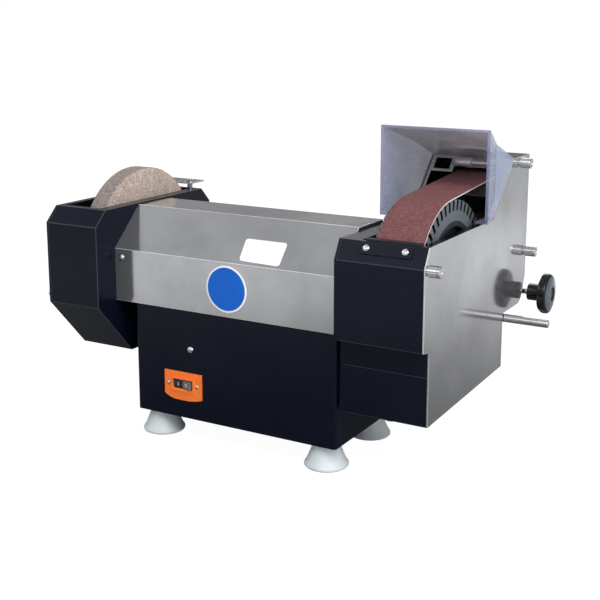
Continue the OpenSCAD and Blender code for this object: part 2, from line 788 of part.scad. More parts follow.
module housing_wall() {
    place() color("#2c2f36") difference() {
        along_x(hood_x1, wall_x1) polygon(housing_outline);
        rod_along_x(hood_x1 - 1, wall_x1 + 1, seal_d, spindle_y, spindle_h);
        rod_along_x(hood_x1 - 1, wall_x1 + 1, pivot_d, pivot_y, pivot_h);
        bolt_places(hood_x1 - 1) rotate([0, 90, 0]) cylinder(d = bolt_d, h = wall_t + 2);
    }
}

// A part of the folded sheet round the housing, within a region of y and z
module housing_shell(region)
    along_x(wall_x1, cover_x0) intersection() {
        difference() {
            polygon(housing_outline);
            polygon(inset(housing_outline, shell_t));
        }
        polygon(region);
    }

module front_cover() {
    place() color("#1a1d26") difference() {
        housing_shell([[front_y - 1, step_z], [slope_y0, step_z], [slope_y0, deck_z + 1],
            [front_y - 1, deck_z + 1]]);
        block(deck_x0, deck_x1, panel_y, slope_y0 + 1, deck_z - shell_t - 2, deck_z + 1);
        on_chamfer() for (x = lip_screw_x) translate([x, lip_mid, -shell_t - 1]) cylinder(d = 4, h = shell_t + 2);
    }
}

module trough() {
    place() color("#14161d") difference() {
        housing_shell([[front_y - 1, trough_z - 1], [trough_back, trough_z - 1],
            [trough_back, step_z], [front_y - 1, step_z]]);
        translate([trough_plug[0], trough_plug[1], trough_z - 1]) cylinder(d = plug_d, h = shell_t + 3);
    }
}

module rear_cover() {
    place() color("#1a1d26") difference() {
        housing_shell([[trough_back, overhang_z - 1], [housing_back + 1, overhang_z - 1],
            [housing_back + 1, housing_top + 1], [slope_y1, housing_top + 1], [slope_y1, pivot_h + 30],
            [trough_back, pivot_h + 30]]);
        block(arm_x0 - 3, arm_x1 + 2, trough_back + 1, pivot_y, overhang_z - 1, overhang_z + shell_t + 1);
        block(arm_x0 - 3, yoke_x1 + 3, pivot_y, housing_back + 1, overhang_z - 1, overhang_z + bevel_z + 8);
    }
}

module side_cover() {
    place() color("#c3c6ca") difference() {
        along_x(cover_x0, cover_x1) polygon(housing_outline);
        for (p = cover_stud_at)
            rod_along_x(cover_x0 - 1, cover_x1 + 1, stud_d + 2 * hole_gap, p[0], p[1]);
    }
}

module cover_studs()
    place() color("silver") for (p = cover_stud_at)
        rod_along_x(wall_x1, cover_x1 + knurl_l - 4, stud_d, p[0], p[1]);

module knurled_nuts() {
    place() color("silver") for (p = cover_stud_at) difference() {
        union() {
            rod_along_x(cover_x1, cover_x1 + knurl_l - 5, knurl_d, p[0], p[1]);
            rod_along_x(cover_x1 + knurl_l - 5, cover_x1 + knurl_l - 4, knurl_d - 3, p[0], p[1]);
            rod_along_x(cover_x1 + knurl_l - 4, cover_x1 + knurl_l, knurl_d - 1, p[0], p[1]);
        }
        rod_along_x(cover_x1 - 1, cover_x1 + knurl_l - 4, stud_d, p[0], p[1]);
    }
}

module slope_plate() {
    place() color("#a9adb2") difference() {
        housing_shell([[slope_y0, deck_z - 20], [slope_y1, deck_z - 20], [slope_y1, housing_top + 1],
            [slope_y0, housing_top + 1]]);
        block(slope_x0, slope_step_x, slope_y0 - 1, slope_y1, deck_z - 20, slope_cut_low);
        block(slope_step_x - 1, slope_x1, slope_y0 - 1, slope_y1, deck_z - 20, slope_cut_high);
        block(slope_x0 + 2, slope_x0 + 25, slope_y0 - 1, slope_y1, slope_cut_low + 3, housing_top - 4);
    }
}

module back_splash()
    place() color("#9fa3a8")
        block(wall_x1, cover_x0, housing_back - shell_t - 1.5, housing_back - shell_t,
            deck_z + 7, housing_top - shell_t);

// Local y runs up the bevel above the front cover and local z points outward
chamfer_a = atan2(deck_z - chamfer_z, chamfer_y);
chamfer_l = norm([deck_z - chamfer_z, chamfer_y]);
lip_x0 = belt_x0 - 13;
lip_x1 = belt_x1 - 7;
lip_screw_x = [lip_x0 + 9, lip_x1 - 8];
lip_mid = chamfer_l - 9;
module on_chamfer()
    translate([0, front_y, chamfer_z]) rotate([chamfer_a, 0, 0]) children();

module lip_strip() {
    place() color("#20232b") on_chamfer() difference() {
        translate([lip_x0, chamfer_l - 16, 0]) cube([lip_x1 - lip_x0, 14, 2]);
        for (x = lip_screw_x) translate([x, lip_mid, -1]) cylinder(d = 4, h = 4);
    }
}

module lip_rubber()
    place() color("#101114")
        block(belt_x0 - 8, belt_x1 + 1, front_y + chamfer_y + 0.5, panel_y + 6, deck_z, deck_z + 2.5);

module lip_screws() {
    place() color("silver") on_chamfer() for (x = lip_screw_x) translate([x, lip_mid, 0]) {
        translate([0, 0, -shell_t - 1]) cylinder(d = 4, h = shell_t + 3);
        translate([0, 0, 2]) cylinder(d1 = 8.5, d2 = 5, h = 2.4);
    }
}

module water_tray() {
    z0 = trough_z + trough_rise + shell_t + 0.5;
    z1 = spindle_h - contact_d / 2 - belt_t - 6;
    place() color("#3a4048") difference() {
        block(wall_x1 + 4, cover_x0 - 4, panel_y + shell_t + 2, trough_back - shell_t - 2, z0, z1);
        block(wall_x1 + 6, cover_x0 - 6, panel_y + shell_t + 4, trough_back - shell_t - 4, z0 + 2, z1 + 1);
    }
}

// The straight runs touch both wheels' circles
run_l = norm([idler_y - spindle_y, idler_h - spindle_h]);
run_a = atan2(idler_h - spindle_h, idler_y - spindle_y);
run_b = acos((contact_d - idler_d) / 2 / run_l);
function on_circle(y, z, r, a) = [y + r * cos(a), z + r * sin(a)];
function belt_path(d) = concat(
    [for (i = [0:72]) on_circle(spindle_y, spindle_h, contact_d / 2 + d,
        run_a + run_b + (360 - 2 * run_b) * i / 72)],
    [for (i = [0:24]) on_circle(idler_y, idler_h, idler_d / 2 + d, run_a - run_b + 2 * run_b * i / 24)]);

module abrasive_belt() {
    place() color("#7a3b34") difference() {
        along_x(belt_x0, belt_x1) polygon(belt_path(belt_gap + belt_t));
        along_x(belt_x0 - 1, belt_x1 + 1) polygon(belt_path(belt_gap));
    }
}

bearing_w = 10;
idler_bore = axle_d + 20;
module idler_roller() {
    place() color("#8b9096") difference() {
        rod_along_x(idler_x0, idler_x1, idler_d, idler_y, idler_h);
        rod_along_x(idler_x0 - 1, idler_x0 + bearing_w, idler_bore, idler_y, idler_h);
        rod_along_x(idler_x1 - bearing_w, idler_x1 + 1, idler_bore, idler_y, idler_h);
        rod_along_x(idler_x0 - 1, idler_x1 + 1, idler_bore - 6, idler_y, idler_h);
    }
}

module idler_bearings() {
    place() color("silver") for (x = [idler_x0, idler_x1 - bearing_w])
        ring_along_x(x, x + bearing_w, idler_bore, axle_d + 2 * running_fit, idler_y, idler_h);
}

module idler_axle() {
    place() color("silver") {
        rod_along_x(yoke_x0, idler_x1 + 2, axle_d, idler_y, idler_h);
        rod_along_x(yoke_x1, idler_x0 - 1, axle_d + 6, idler_y, idler_h);
        rod_along_x(idler_x1 + 0.6, idler_x1 + 2, axle_d + 4, idler_y, idler_h);
    }
}

yoke_knee = [pivot_y + 1, tilt_z - 50];
module tracking_yoke() {
    place() color("#6d7278") difference() {
        union() {
            along_x(yoke_x0, yoke_x1) {
                link([idler_y, idler_h], [idler_y, tilt_z], yoke_r + 4);
                link([idler_y, tilt_z], yoke_knee, yoke_r);
                link(yoke_knee, [screw_y, screw_h], yoke_r);
            }
            rod_along_y(idler_y - tilt_hub_l / 2, idler_y + tilt_hub_l / 2, tilt_hub_d, tilt_x, tilt_z);
        }
        rod_along_x(yoke_x0 - 1, yoke_x1 + 1, axle_d, idler_y, idler_h);
        rod_along_x(yoke_x0 - 1, yoke_x1 + 1, screw_d + 3, screw_y, screw_h);
        rod_along_y(idler_y - tilt_hub_l, idler_y + tilt_hub_l, tilt_pin_d + 2 * running_fit, tilt_x, tilt_z);
    }
}

ear_y = tilt_hub_l / 2 + ear_gap;
module tension_arm() {
    place() color("#4b4f56") {
        difference() {
            union() {
                along_x(arm_x0, arm_x1) {
                    link([pivot_y, pivot_h], [idler_y, tilt_z], arm_r + 2);
                    link([pivot_y, pivot_h], [rod_y, rod_h], rod_d / 2 + 2);
                    link([pivot_y, pivot_h], [screw_y, screw_h], arm_r);
                    translate([idler_y - ear_y - ear_t, tilt_z - 8]) square([2 * ear_y + 2 * ear_t, 16]);
                }
                rod_along_x(wall_x1 + 4, arm_x1, pivot_d + 16, pivot_y, pivot_h);
                for (y = [idler_y - ear_y - ear_t, idler_y + ear_y])
                    block(arm_x0, tilt_x + tilt_pin_d, y, y + ear_t, tilt_z - 8, tilt_z + 8);
                block(spring_x - 4, arm_x0 + 1, spring_y - 5, spring_y + 5, spring_z1, spring_z1 + 3);
                block(arm_x0, arm_x1, spring_y - 5, pivot_y, spring_z1 - 6, spring_z1 + 3);
            }
            rod_along_x(wall_x1 - 1, arm_x1 + 1, pivot_d + 2 * running_fit, pivot_y, pivot_h);
            rod_along_x(arm_x0 - 1, arm_x1 + 1, screw_d + 2 * running_fit, screw_y, screw_h);
            rod_along_x(arm_x0 - 1, arm_x1 + 1, rod_d, rod_y, rod_h);
            rod_along_y(idler_y - ear_y - ear_t - 1, idler_y + ear_y + ear_t + 1, tilt_pin_d, tilt_x, tilt_z);
            rod_along_y(idler_y - tilt_hub_l / 2 - ear_gap, idler_y + tilt_hub_l / 2 + ear_gap,
                tilt_hub_d + 2, tilt_x, tilt_z);
        }
        rod_along_y(idler_y - ear_y - ear_t, idler_y + ear_y + ear_t, tilt_pin_d, tilt_x, tilt_z);
    }
}

module arm_pivot() {
    place() color("silver") {
        rod_along_x(hood_x1, arm_x1 + 2, pivot_d, pivot_y, pivot_h);
        rod_along_x(wall_x1, wall_x1 + 3.5, pivot_d + 8, pivot_y, pivot_h);
        rod_along_x(arm_x1 + 0.5, arm_x1 + 2, pivot_d + 4, pivot_y, pivot_h);
    }
}

// A coil of round wire standing on the overhang
coil_turns = 7;
coil_steps = 12;
coil_sides = 8;
coil_n = coil_turns * coil_steps;
module tension_spring() {
    r = (spring_d - wire_d) / 2;
    rise = spring_z1 - spring_z0 - wire_d - 0.3;
    pts = [for (i = [0:coil_n], j = [0:coil_sides - 1])
        let (a = 360 * i / coil_steps, b = 360 * j / coil_sides, q = r + wire_d / 2 * cos(b))
        [q * cos(a), q * sin(a), wire_d / 2 + rise * i / coil_n + wire_d / 2 * sin(b)]];
    sides = [for (i = [0:coil_n - 1], j = [0:coil_sides - 1])
        let (k = (j + 1) % coil_sides, m = i * coil_sides)
        each [[m + j, m + coil_sides + j, m + coil_sides + k], [m + j, m + coil_sides + k, m + k]]];
    place() color("silver") translate([spring_x, spring_y, spring_z0])
        polyhedron(pts, concat(sides, [[for (j = [0:coil_sides - 1]) j],
            [for (j = [coil_sides - 1:-1:0]) coil_n * coil_sides + j]]));
}

module tension_lever() {
    place() color("silver") difference() {
        rod_along_x(arm_x0, rod_x1, rod_d, rod_y, rod_h);
        translate([rod_x1 - 1, rod_y, rod_h]) rotate([0, 90, 0]) difference() {
            cylinder(d = rod_d + 2, h = 2);
            cylinder(d1 = rod_d, d2 = rod_d - 2, h = 1.01);
        }
    }
}

module tracking_knob() {
    place() color("#15171b") translate([knob_x0, screw_y, screw_h]) rotate([0, 90, 0]) {
        difference() {
            union() {
                cylinder(d = hub_d, h = hub_l + 1);
                translate([0, 0, hub_l]) rotate_extrude(convexity = 4)
                    polygon([[0, 0], [knob_d / 2 - 8, 0], [knob_d / 2 - 1.5, 3], [knob_d / 2, grip_t - 9],
                        [knob_d / 2 - 0.8, grip_t - 6], [knob_d / 2 - 3.5, grip_t - 3],
                        [knob_d / 2 - 8, grip_t - 1], [knob_d / 2 - 14, grip_t],
                        [8, grip_t], [7, grip_t - 1.5], [0, grip_t - 1.5]]);
            }
            for (a = [30:60:330]) rotate(a) translate([knob_d / 2 + 10.5, 0, hub_l - 1])
                cylinder(d = 30, h = grip_t + 2);
        }
        translate([0, 0, arm_x0 - 4 - knob_x0]) cylinder(d = screw_d, h = knob_x0 - arm_x0 + 4);
        translate([0, 0, collar_x0 - knob_x0]) cylinder(d = screw_d + 8, h = 4);
    }
}

// The clear guard's section: its panes stand on the slope
guard_side = [[rim_y, rim_low], [slope_y0, deck_z + guard_lift + 2], [slope_y1, housing_top + guard_lift],
    [rim_y, rim_top]];
module guard_plan(d)
    polygon([[guard_x0 - rim_flare + d, rim_y - d], [guard_x1 + rim_flare - d, rim_y - d],
        [guard_x1 - d, slope_y0], [guard_x1 - d, slope_y1 + 20], [guard_x0 + d, slope_y1 + 20],
        [guard_x0 + d, slope_y0]]);

module clear_guard() {
    place() color("#dfe6ee", 0.5) difference() {
        intersection() {
            along_x(guard_x0 - rim_flare - 5, guard_x1 + rim_flare + 5) polygon(guard_side);
            translate([0, 0, deck_z - 10]) linear_extrude(rim_top - deck_z + 20) guard_plan(0);
        }
        intersection() {
            along_x(guard_x0 - rim_flare - 5, guard_x1 + rim_flare + 5)
                polygon([[rim_y - 10, rim_low - 30], [slope_y1 + 10, rim_low - 30],
                    [slope_y1 + 10, housing_top + guard_lift - pane_t - 10 * tan(top_a)],
                    [rim_y - 10, rim_top - pane_t + 10 * tan(top_a)]]);
            translate([0, 0, deck_z - 20]) linear_extrude(rim_top - deck_z + 40) guard_plan(pane_t);
        }
    }
    place() color("#dfe6ee", 0.5) translate([0, 0, rim_low]) linear_extrude(pane_t) {
        polygon([[guard_x0, rim_y], [guard_x0, slope_y0], [guard_x0 - rim_flare, rim_y]]);
        polygon([[guard_x1, rim_y], [guard_x1 + rim_flare, rim_y], [guard_x1, slope_y0]]);
    }
    place() color("silver") {
        ring_along_x(hinge_x0 + 25, hinge_x1 - 25, hinge_d, hinge_pin_d + 2 * running_fit, hinge_y, hinge_z);
        translate([0, hinge_y, hinge_z]) rotate([-top_a, 0, 0]) difference() {
            block(hinge_x0 + 25, hinge_x1 - 25, -hinge_leaf, -hinge_pin_d / 2, hinge_d / 2 - 1.5, hinge_d / 2);
            rod_along_x(hinge_x0, hinge_x1, hinge_pin_d + 2 * running_fit, 0, 0);
        }
    }
}

module guard_hinge() {
    place() color("silver") {
        rod_along_x(hinge_x0, hinge_x1, hinge_pin_d, hinge_y, hinge_z);
        for (x = [hinge_x0, hinge_x1 - 24.5])
            ring_along_x(x, x + 24.5, hinge_d, hinge_pin_d, hinge_y, hinge_z);
        difference() {
            block(hinge_x0, hinge_x1, hinge_y + hinge_d / 2 + 0.3, hinge_y + hinge_leaf, housing_top, housing_top + 1.5);
            rod_along_x(hinge_x0 - 1, hinge_x1 + 1, hinge_pin_d, hinge_y, hinge_z);
        }
        for (x = [hinge_x0, hinge_x1 - 24.5])
            block(x, x + 24.5, hinge_y + hinge_pin_d / 2 + 0.1, hinge_y + hinge_d / 2 + 1, housing_top, housing_top + 1.5);
    }
}

fitting_d = 14;
fitting_l = 24;
pipe_d = 7;
pipe_y = slope_y1 - 16;
pipe_z = deck_z + (pipe_y - slope_y0) * tan(slope_a) + (fitting_d / 2 + 0.2) / cos(slope_a);
module spray_pipe() {
    place() color("silver") {
        rod_along_x(belt_x0 - 2, belt_x0 - 2 + fitting_l, fitting_d, pipe_y, pipe_z);
        rod_along_x(belt_x0 - 2 + fitting_l, slope_x1 - 2, pipe_d, pipe_y, pipe_z);
    }
}

module switch_outline(d) {
    w = switch_w / 2;
    z1 = switch_plate_h / 2;
    polygon([[-w + d, z1 - d], [-w + d, -z1 + 1.5], [-w + 4, -z1 - 1.2 + d], [-w + 9, -z1 - 3.4 + d],
        [-w + 15, -z1 - 4.7 + d], [-w + 22, -z1 - 5 + d], [w - 20, -z1 - 5 + d], [w - 9, -z1 - 3.4 + d],
        [w - d, -z1 - 1], [w - d, z1 - d]]);
}

module switch_plate() {
    place() color("#e8641c") translate([switch_x, hood_t, switch_h]) rotate([90, 0, 0]) difference() {
        union() {
            linear_extrude(switch_t) switch_outline(0);
            linear_extrude(switch_t + 1.5) difference() {
                square([rocker_w + 9, rocker_h + 9], center = true);
                square([rocker_w + 4, rocker_h + 4], center = true);
            }
        }
        translate([0, 0, -1]) linear_extrude(switch_t + 4)
            square([rocker_w + 2 * rocker_gap, rocker_h + 2 * rocker_gap], center = true);
        for (x = switch_screw_x) translate([x, 0, -1]) cylinder(d = 3, h = switch_t + 2);
    }
}

module switch_body() {
    place() color("#202226") difference() {
        block(switch_x - rocker_w / 2 - 2.5, switch_x + rocker_w / 2 + 2.5, hood_t, hood_t + switch_body_d,
            switch_h - rocker_h / 2 - 2.5, switch_h + rocker_h / 2 + 2.5);
        block(switch_x - rocker_w / 2 - rocker_gap, switch_x + rocker_w / 2 + rocker_gap, hood_t - 1, hood_t + 12,
            switch_h - rocker_h / 2 - rocker_gap, switch_h + rocker_h / 2 + rocker_gap);
    }
}

switch_screw_x = [-switch_w / 2 + 7, switch_w / 2 - 7];
module switch_rocker() {
    w = rocker_w / 2;
    front = -switch_t - 2 - rocker_pivot_y;
    place() color("#22242a")
        translate([switch_x, hood_t + rocker_pivot_y, switch_h - rocker_h / 2]) rotate(-rocker_tilt)
            linear_extrude(rocker_h) polygon([[-w, front], [0, front + 2.5], [w, front],
                [w, front + 5.5], [w - 8, 3], [-w + 8, 3], [-w, front + 5.5]]);
}

// Screws of the switch plate and the dome-headed screw above it
module small_screws() {
    place() color("silver") {
        for (x = switch_screw_x) {
            rod_along_y(hood_t - switch_t - 1.6, hood_t - switch_t, 5.5, switch_x + x, switch_h);
            rod_along_y(hood_t - switch_t, hood_t, 3, switch_x + x, switch_h);
        }
        translate([switch_x + 12, hood_t, switch_h + 48.6]) rotate([90, 0, 0]) intersection() {
            cylinder(d = 9.5, h = 3.5);
            translate([0, 0, -2]) sphere(d = 11);
        }
    }
}

module cable_gland() {
    place() color("#17191d") {
        rod_along_y(hood_d - hood_t - cabinet_t, hood_d - hood_t, 16, cabinet_w - gland_in, gland_z);
        difference() {
            union() {
                rod_along_y(hood_d - hood_t, hood_d - hood_t + 6, 24, cabinet_w - gland_in, gland_z);
                rod_along_y(hood_d - hood_t + 6, hood_d - hood_t + 20, 19, cabinet_w - gland_in, gland_z);
            }
            rod_along_y(hood_d - hood_t + 8, hood_d + 30, 9, cabinet_w - gland_in, gland_z);
        }
        rod_along_y(hood_d - hood_t - cabinet_t - 6, hood_d - hood_t - cabinet_t, 22, cabinet_w - gland_in, gland_z);
    }
}

cabinet();
feet();
foot_studs();
chassis_plate();
end_frame_left();
end_frame_right();
motor_cradle();
motor_housing();
stator();
end_shields();
motor_bearings();
capacitor();
shaft_seals();
spindle();
rotor();
grinding_wheel();
wheel_flanges();
spindle_nuts();
contact_hub();
contact_tyre();
hood();
hood_screws();
wheel_guard();
guard_cover();
guard_nuts();
guard_bolts();
splash_spacers();
splash_plate();
drain_plugs();
housing_wall();
front_cover();
trough();
rear_cover();
side_cover();
cover_studs();
knurled_nuts();
slope_plate();
back_splash();
lip_strip();
lip_rubber();
lip_screws();
water_tray();
abrasive_belt();
idler_roller();
idler_bearings();
idler_axle();
tracking_yoke();
tension_arm();
arm_pivot();
tension_spring();
tension_lever();
tracking_knob();
clear_guard();
guard_hinge();
spray_pipe();
switch_plate();
switch_body();
switch_rocker();
small_screws();
cable_gland();
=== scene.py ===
# Wet grinding sharpener: grinding wheel on the left, abrasive belt on the right.
import json
import math

import bmesh
import bpy
from mathutils import Matrix, Vector, noise


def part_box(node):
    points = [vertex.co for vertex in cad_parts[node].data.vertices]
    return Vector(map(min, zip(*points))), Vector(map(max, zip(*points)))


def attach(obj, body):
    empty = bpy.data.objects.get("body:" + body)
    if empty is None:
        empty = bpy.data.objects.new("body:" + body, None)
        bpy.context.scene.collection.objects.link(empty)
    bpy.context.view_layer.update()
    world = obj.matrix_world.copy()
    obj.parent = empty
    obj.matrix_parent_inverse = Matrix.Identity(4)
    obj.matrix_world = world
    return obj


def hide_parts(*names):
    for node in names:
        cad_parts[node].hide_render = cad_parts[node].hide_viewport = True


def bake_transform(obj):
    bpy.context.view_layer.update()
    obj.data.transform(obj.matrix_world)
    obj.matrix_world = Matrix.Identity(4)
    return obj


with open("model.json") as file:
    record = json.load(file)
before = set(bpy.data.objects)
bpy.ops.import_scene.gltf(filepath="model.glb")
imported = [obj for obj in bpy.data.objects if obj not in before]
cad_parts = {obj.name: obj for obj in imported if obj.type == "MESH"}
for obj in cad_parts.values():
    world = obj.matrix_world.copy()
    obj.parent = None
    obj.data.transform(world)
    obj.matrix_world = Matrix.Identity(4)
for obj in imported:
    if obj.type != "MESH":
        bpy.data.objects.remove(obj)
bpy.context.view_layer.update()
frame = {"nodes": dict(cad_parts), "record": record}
nodes = frame["nodes"]
mm = 0.001


def feed(tree, node, inputs):
    # an output, or a node for its first one, is linked; None leaves the input alone; the rest are values
    for key, value in inputs:
        if isinstance(value, bpy.types.Node):
            value = value.outputs[0]
        if isinstance(value, bpy.types.NodeSocket):
            tree.links.new(value, node.inputs[key])
        elif value is not None:
            node.inputs[key].default_value = value
    return node


def addNode(tree, kind, *inputs, **named):
    # plain arguments fill the inputs in order; a named one is an input or else a setting of the node
    node = tree.nodes.new(kind)
    for key, value in named.items():
        if key not in node.inputs:
            setattr(node, key, value)
    feed(tree, node, [(key, value) for key, value in named.items() if key in node.inputs])
    return feed(tree, node, enumerate(inputs))


def calc(tree, operation, *inputs):
    return addNode(tree, "ShaderNodeMath", *inputs, operation=operation)


def ramp(tree, value, fromLow, fromHigh, toLow=0.0, toHigh=1.0, kind="SMOOTHSTEP"):
    return addNode(tree, "ShaderNodeMapRange", value, fromLow, fromHigh, toLow, toHigh, interpolation_type=kind)


def coordinates(tree, output="Object"):
    return addNode(tree, "ShaderNodeTexCoord").outputs[output]


def newGroup(name, kind, inputs, outputs):
    # the tree, its input sockets, its output node, and what a modifier calls each input
    tree = bpy.data.node_groups.new(name, kind)
    identifiers = {}
    for socketName, socketKind, value in inputs:
        socket = tree.interface.new_socket(socketName, in_out="INPUT", socket_type="NodeSocket" + socketKind)
        identifiers[socketName] = socket.identifier
        if value is not None:
            socket.default_value = value
    for socketName, socketKind in outputs:
        tree.interface.new_socket(socketName, in_out="OUTPUT", socket_type="NodeSocket" + socketKind)
    return tree, addNode(tree, "NodeGroupInput").outputs, addNode(tree, "NodeGroupOutput"), identifiers


def makeGrainGroup():
    # long fine lines of a brushed sheet; Stretch squeezes the noise across the brushing
    tree, given, out, _ = newGroup(
        "brushedGrain", "ShaderNodeTree",
        [("Stretch", "Vector", (6, 900, 900)), ("Depth", "Float", 0.2), ("Low", "Float", 0.2), ("High", "Float", 0.4)],
        [("Roughness", "Float"), ("Height", "Float"), ("Cloud", "Float")])
    place = coordinates(tree)
    scaled = addNode(tree, "ShaderNodeVectorMath", place, given["Stretch"], operation="MULTIPLY")
    lines = addNode(tree, "ShaderNodeTexNoise", Vector=scaled, Scale=1.0, Detail=3.0, Roughness=0.6)
    cloud = addNode(tree, "ShaderNodeTexNoise", Vector=place, Scale=9.0, Detail=4.0, Roughness=0.55)
    blend = calc(tree, "MULTIPLY_ADD", lines, 0.65, calc(tree, "MULTIPLY", cloud, 0.35))
    rough = ramp(tree, blend, 0.3, 0.7, given["Low"], given["High"], "LINEAR")
    feed(tree, out, enumerate((rough, calc(tree, "MULTIPLY", lines, given["Depth"]), cloud)))
    return tree


def makeDustGroup():
    # soft patches of dust and handling marks, 0 clean to 1 marked
    tree, given, out, _ = newGroup(
        "dustPatches", "ShaderNodeTree", [("Scale", "Float", 14.0), ("Amount", "Float", 0.5), ("Seed", "Float", 0.0)],
        [("Mask", "Float"), ("Fine", "Float")])
    place = coordinates(tree)
    broad = addNode(tree, "ShaderNodeTexNoise", noise_dimensions="4D", Vector=place, W=given["Seed"],
                    Scale=given["Scale"], Detail=5.0, Roughness=0.6)
    fine = addNode(tree, "ShaderNodeTexNoise", Vector=place, Scale=420.0, Detail=2.0)
    feed(tree, out, enumerate((ramp(tree, broad, 0.45, 0.75, 0.0, given["Amount"]), fine)))
    return tree


def makeGritGroup():
    # grains of an abrasive: a shade for each grain, its height, and loose dark and pale specks
    tree, given, out, _ = newGroup(
        "abrasiveGrit", "ShaderNodeTree", [("Grain", "Float", 900.0), ("Pitting", "Float", 0.5)],
        [("Shade", "Float"), ("Height", "Float"), ("Specks", "Float")])
    place = coordinates(tree)
    cells = addNode(tree, "ShaderNodeTexVoronoi", feature="F1", Vector=place, Scale=given["Grain"]).outputs
    broad = addNode(tree, "ShaderNodeTexNoise", Vector=place, Scale=60.0, Detail=6.0, Roughness=0.65)
    pitScale = calc(tree, "MULTIPLY", given["Grain"], 0.45)
    pits = addNode(tree, "ShaderNodeTexNoise", Vector=place, Scale=pitScale, Detail=2.0, Roughness=0.5)
    cellShade = addNode(tree, "ShaderNodeSeparateColor", cells["Color"])
    shade = calc(tree, "MULTIPLY_ADD", cellShade, 0.55, calc(tree, "MULTIPLY", broad, 0.45))
    height = calc(tree, "SUBTRACT", cells["Distance"], calc(tree, "MULTIPLY", pits, given["Pitting"]))
    feed(tree, out, enumerate((shade, height, ramp(tree, pits, 0.62, 0.7, kind="LINEAR"))))
    return tree


grainGroup = makeGrainGroup()
dustGroup = makeDustGroup()
gritGroup = makeGritGroup()


def newMaterial(name, color, roughness, metallic=0.0, **sockets):
    material = bpy.data.materials.new(name)
    material.use_nodes = True
    tree = material.node_tree
    shader = tree.nodes["Principled BSDF"]
    sockets.update({"Base Color": (*color, 1), "Roughness": roughness, "Metallic": metallic})
    feed(tree, shader, sockets.items())
    return material, tree, shader


def coat(weight, roughness=0.03, level=0.5):
    # a clear coat, and how much the surface under it mirrors
    return {"Coat Weight": weight, "Coat Roughness": roughness, "Specular IOR Level": level}


def placeGroup(tree, group, **values):
    return feed(tree, addNode(tree, "ShaderNodeGroup", node_tree=group), values.items()).outputs


def addBump(tree, shader, height, distance, strength):
    bump = addNode(tree, "ShaderNodeBump", Height=height, Strength=strength, Distance=distance)
    feed(tree, shader, [("Normal", bump)])


def mixColors(tree, mask, *pair):
    # the colours, or sockets that carry them, are inputs 6 and 7 of the node
    mix = addNode(tree, "ShaderNodeMix", mask, data_type="RGBA")
    colors = [color if isinstance(color, bpy.types.NodeSocket) else (*color, 1) for color in pair]
    return feed(tree, mix, enumerate(colors, 6)).outputs[2]


def coatedSheet(name, color, dusty, roughness, peel):
    material, tree, shader = newMaterial(name, color, roughness, **coat(0.02, 0.08, 0.18))
    dust = placeGroup(tree, dustGroup, Scale=11.0, Amount=0.5)
    feed(tree, shader, [("Base Color", mixColors(tree, dust["Mask"], color, dusty)),
                        ("Roughness", ramp(tree, dust["Mask"], 0.0, 1.0, roughness, roughness + 0.16, "LINEAR"))])
    addBump(tree, shader, dust["Fine"], peel, 0.12)
    return material


def brushedSheet(name, color, stretch, low, high, depth, metallic=1.0):
    material, tree, shader = newMaterial(name, color, low, metallic)
    grain = placeGroup(tree, grainGroup, Stretch=stretch, Low=low, High=high, Depth=depth)
    deeper = tuple(c * 0.8 for c in color)
    feed(tree, shader, [("Roughness", grain["Roughness"]),
                        ("Base Color", mixColors(tree, ramp(tree, grain["Cloud"], 0.3, 0.68), deeper, color))])
    addBump(tree, shader, grain["Height"], 0.00012, 0.5)
    return material


def dullPlastic(name, color, roughness, fine=0.00005, **sockets):
    material, tree, shader = newMaterial(name, color, roughness, **sockets)
    dust = placeGroup(tree, dustGroup, Scale=22.0, Amount=0.6, Seed=3.0)
    paler = tuple(min(1, c * 1.25 + 0.004) for c in color)
    feed(tree, shader, [("Base Color", mixColors(tree, dust["Mask"], color, paler))])
    addBump(tree, shader, dust["Fine"], fine, 0.3)
    return material


def gritSurface(name, dark, pale, speck, grain, roughness, distance, pitting):
    material, tree, shader = newMaterial(name, dark, roughness)
    grit = placeGroup(tree, gritGroup, Grain=grain, Pitting=pitting)
    base = mixColors(tree, grit["Shade"], dark, pale)
    feed(tree, shader, [("Base Color", mixColors(tree, grit["Specks"], base, speck))])
    addBump(tree, shader, grit["Height"], distance, 0.8)
    return material


def clearPane(name, color, hazy, alpha, roughness):
    material, tree, shader = newMaterial(name, color, roughness, Alpha=alpha, **coat(0.28, 0.05))
    dust = placeGroup(tree, dustGroup, Scale=7.0, Amount=1.0, Seed=8.0)["Mask"]
    broad = placeGroup(tree, dustGroup, Scale=11.0, Amount=1.0, Seed=21.0)["Mask"]
    feed(tree, shader, [("Roughness", ramp(tree, dust, 0.0, 1.0, roughness, roughness + 0.2, "LINEAR")),
                        ("Base Color", mixColors(tree, broad, color, hazy)),
                        ("Alpha", ramp(tree, dust, 0.0, 1.0, alpha, min(1.0, alpha + 0.12), "LINEAR"))])
    return material


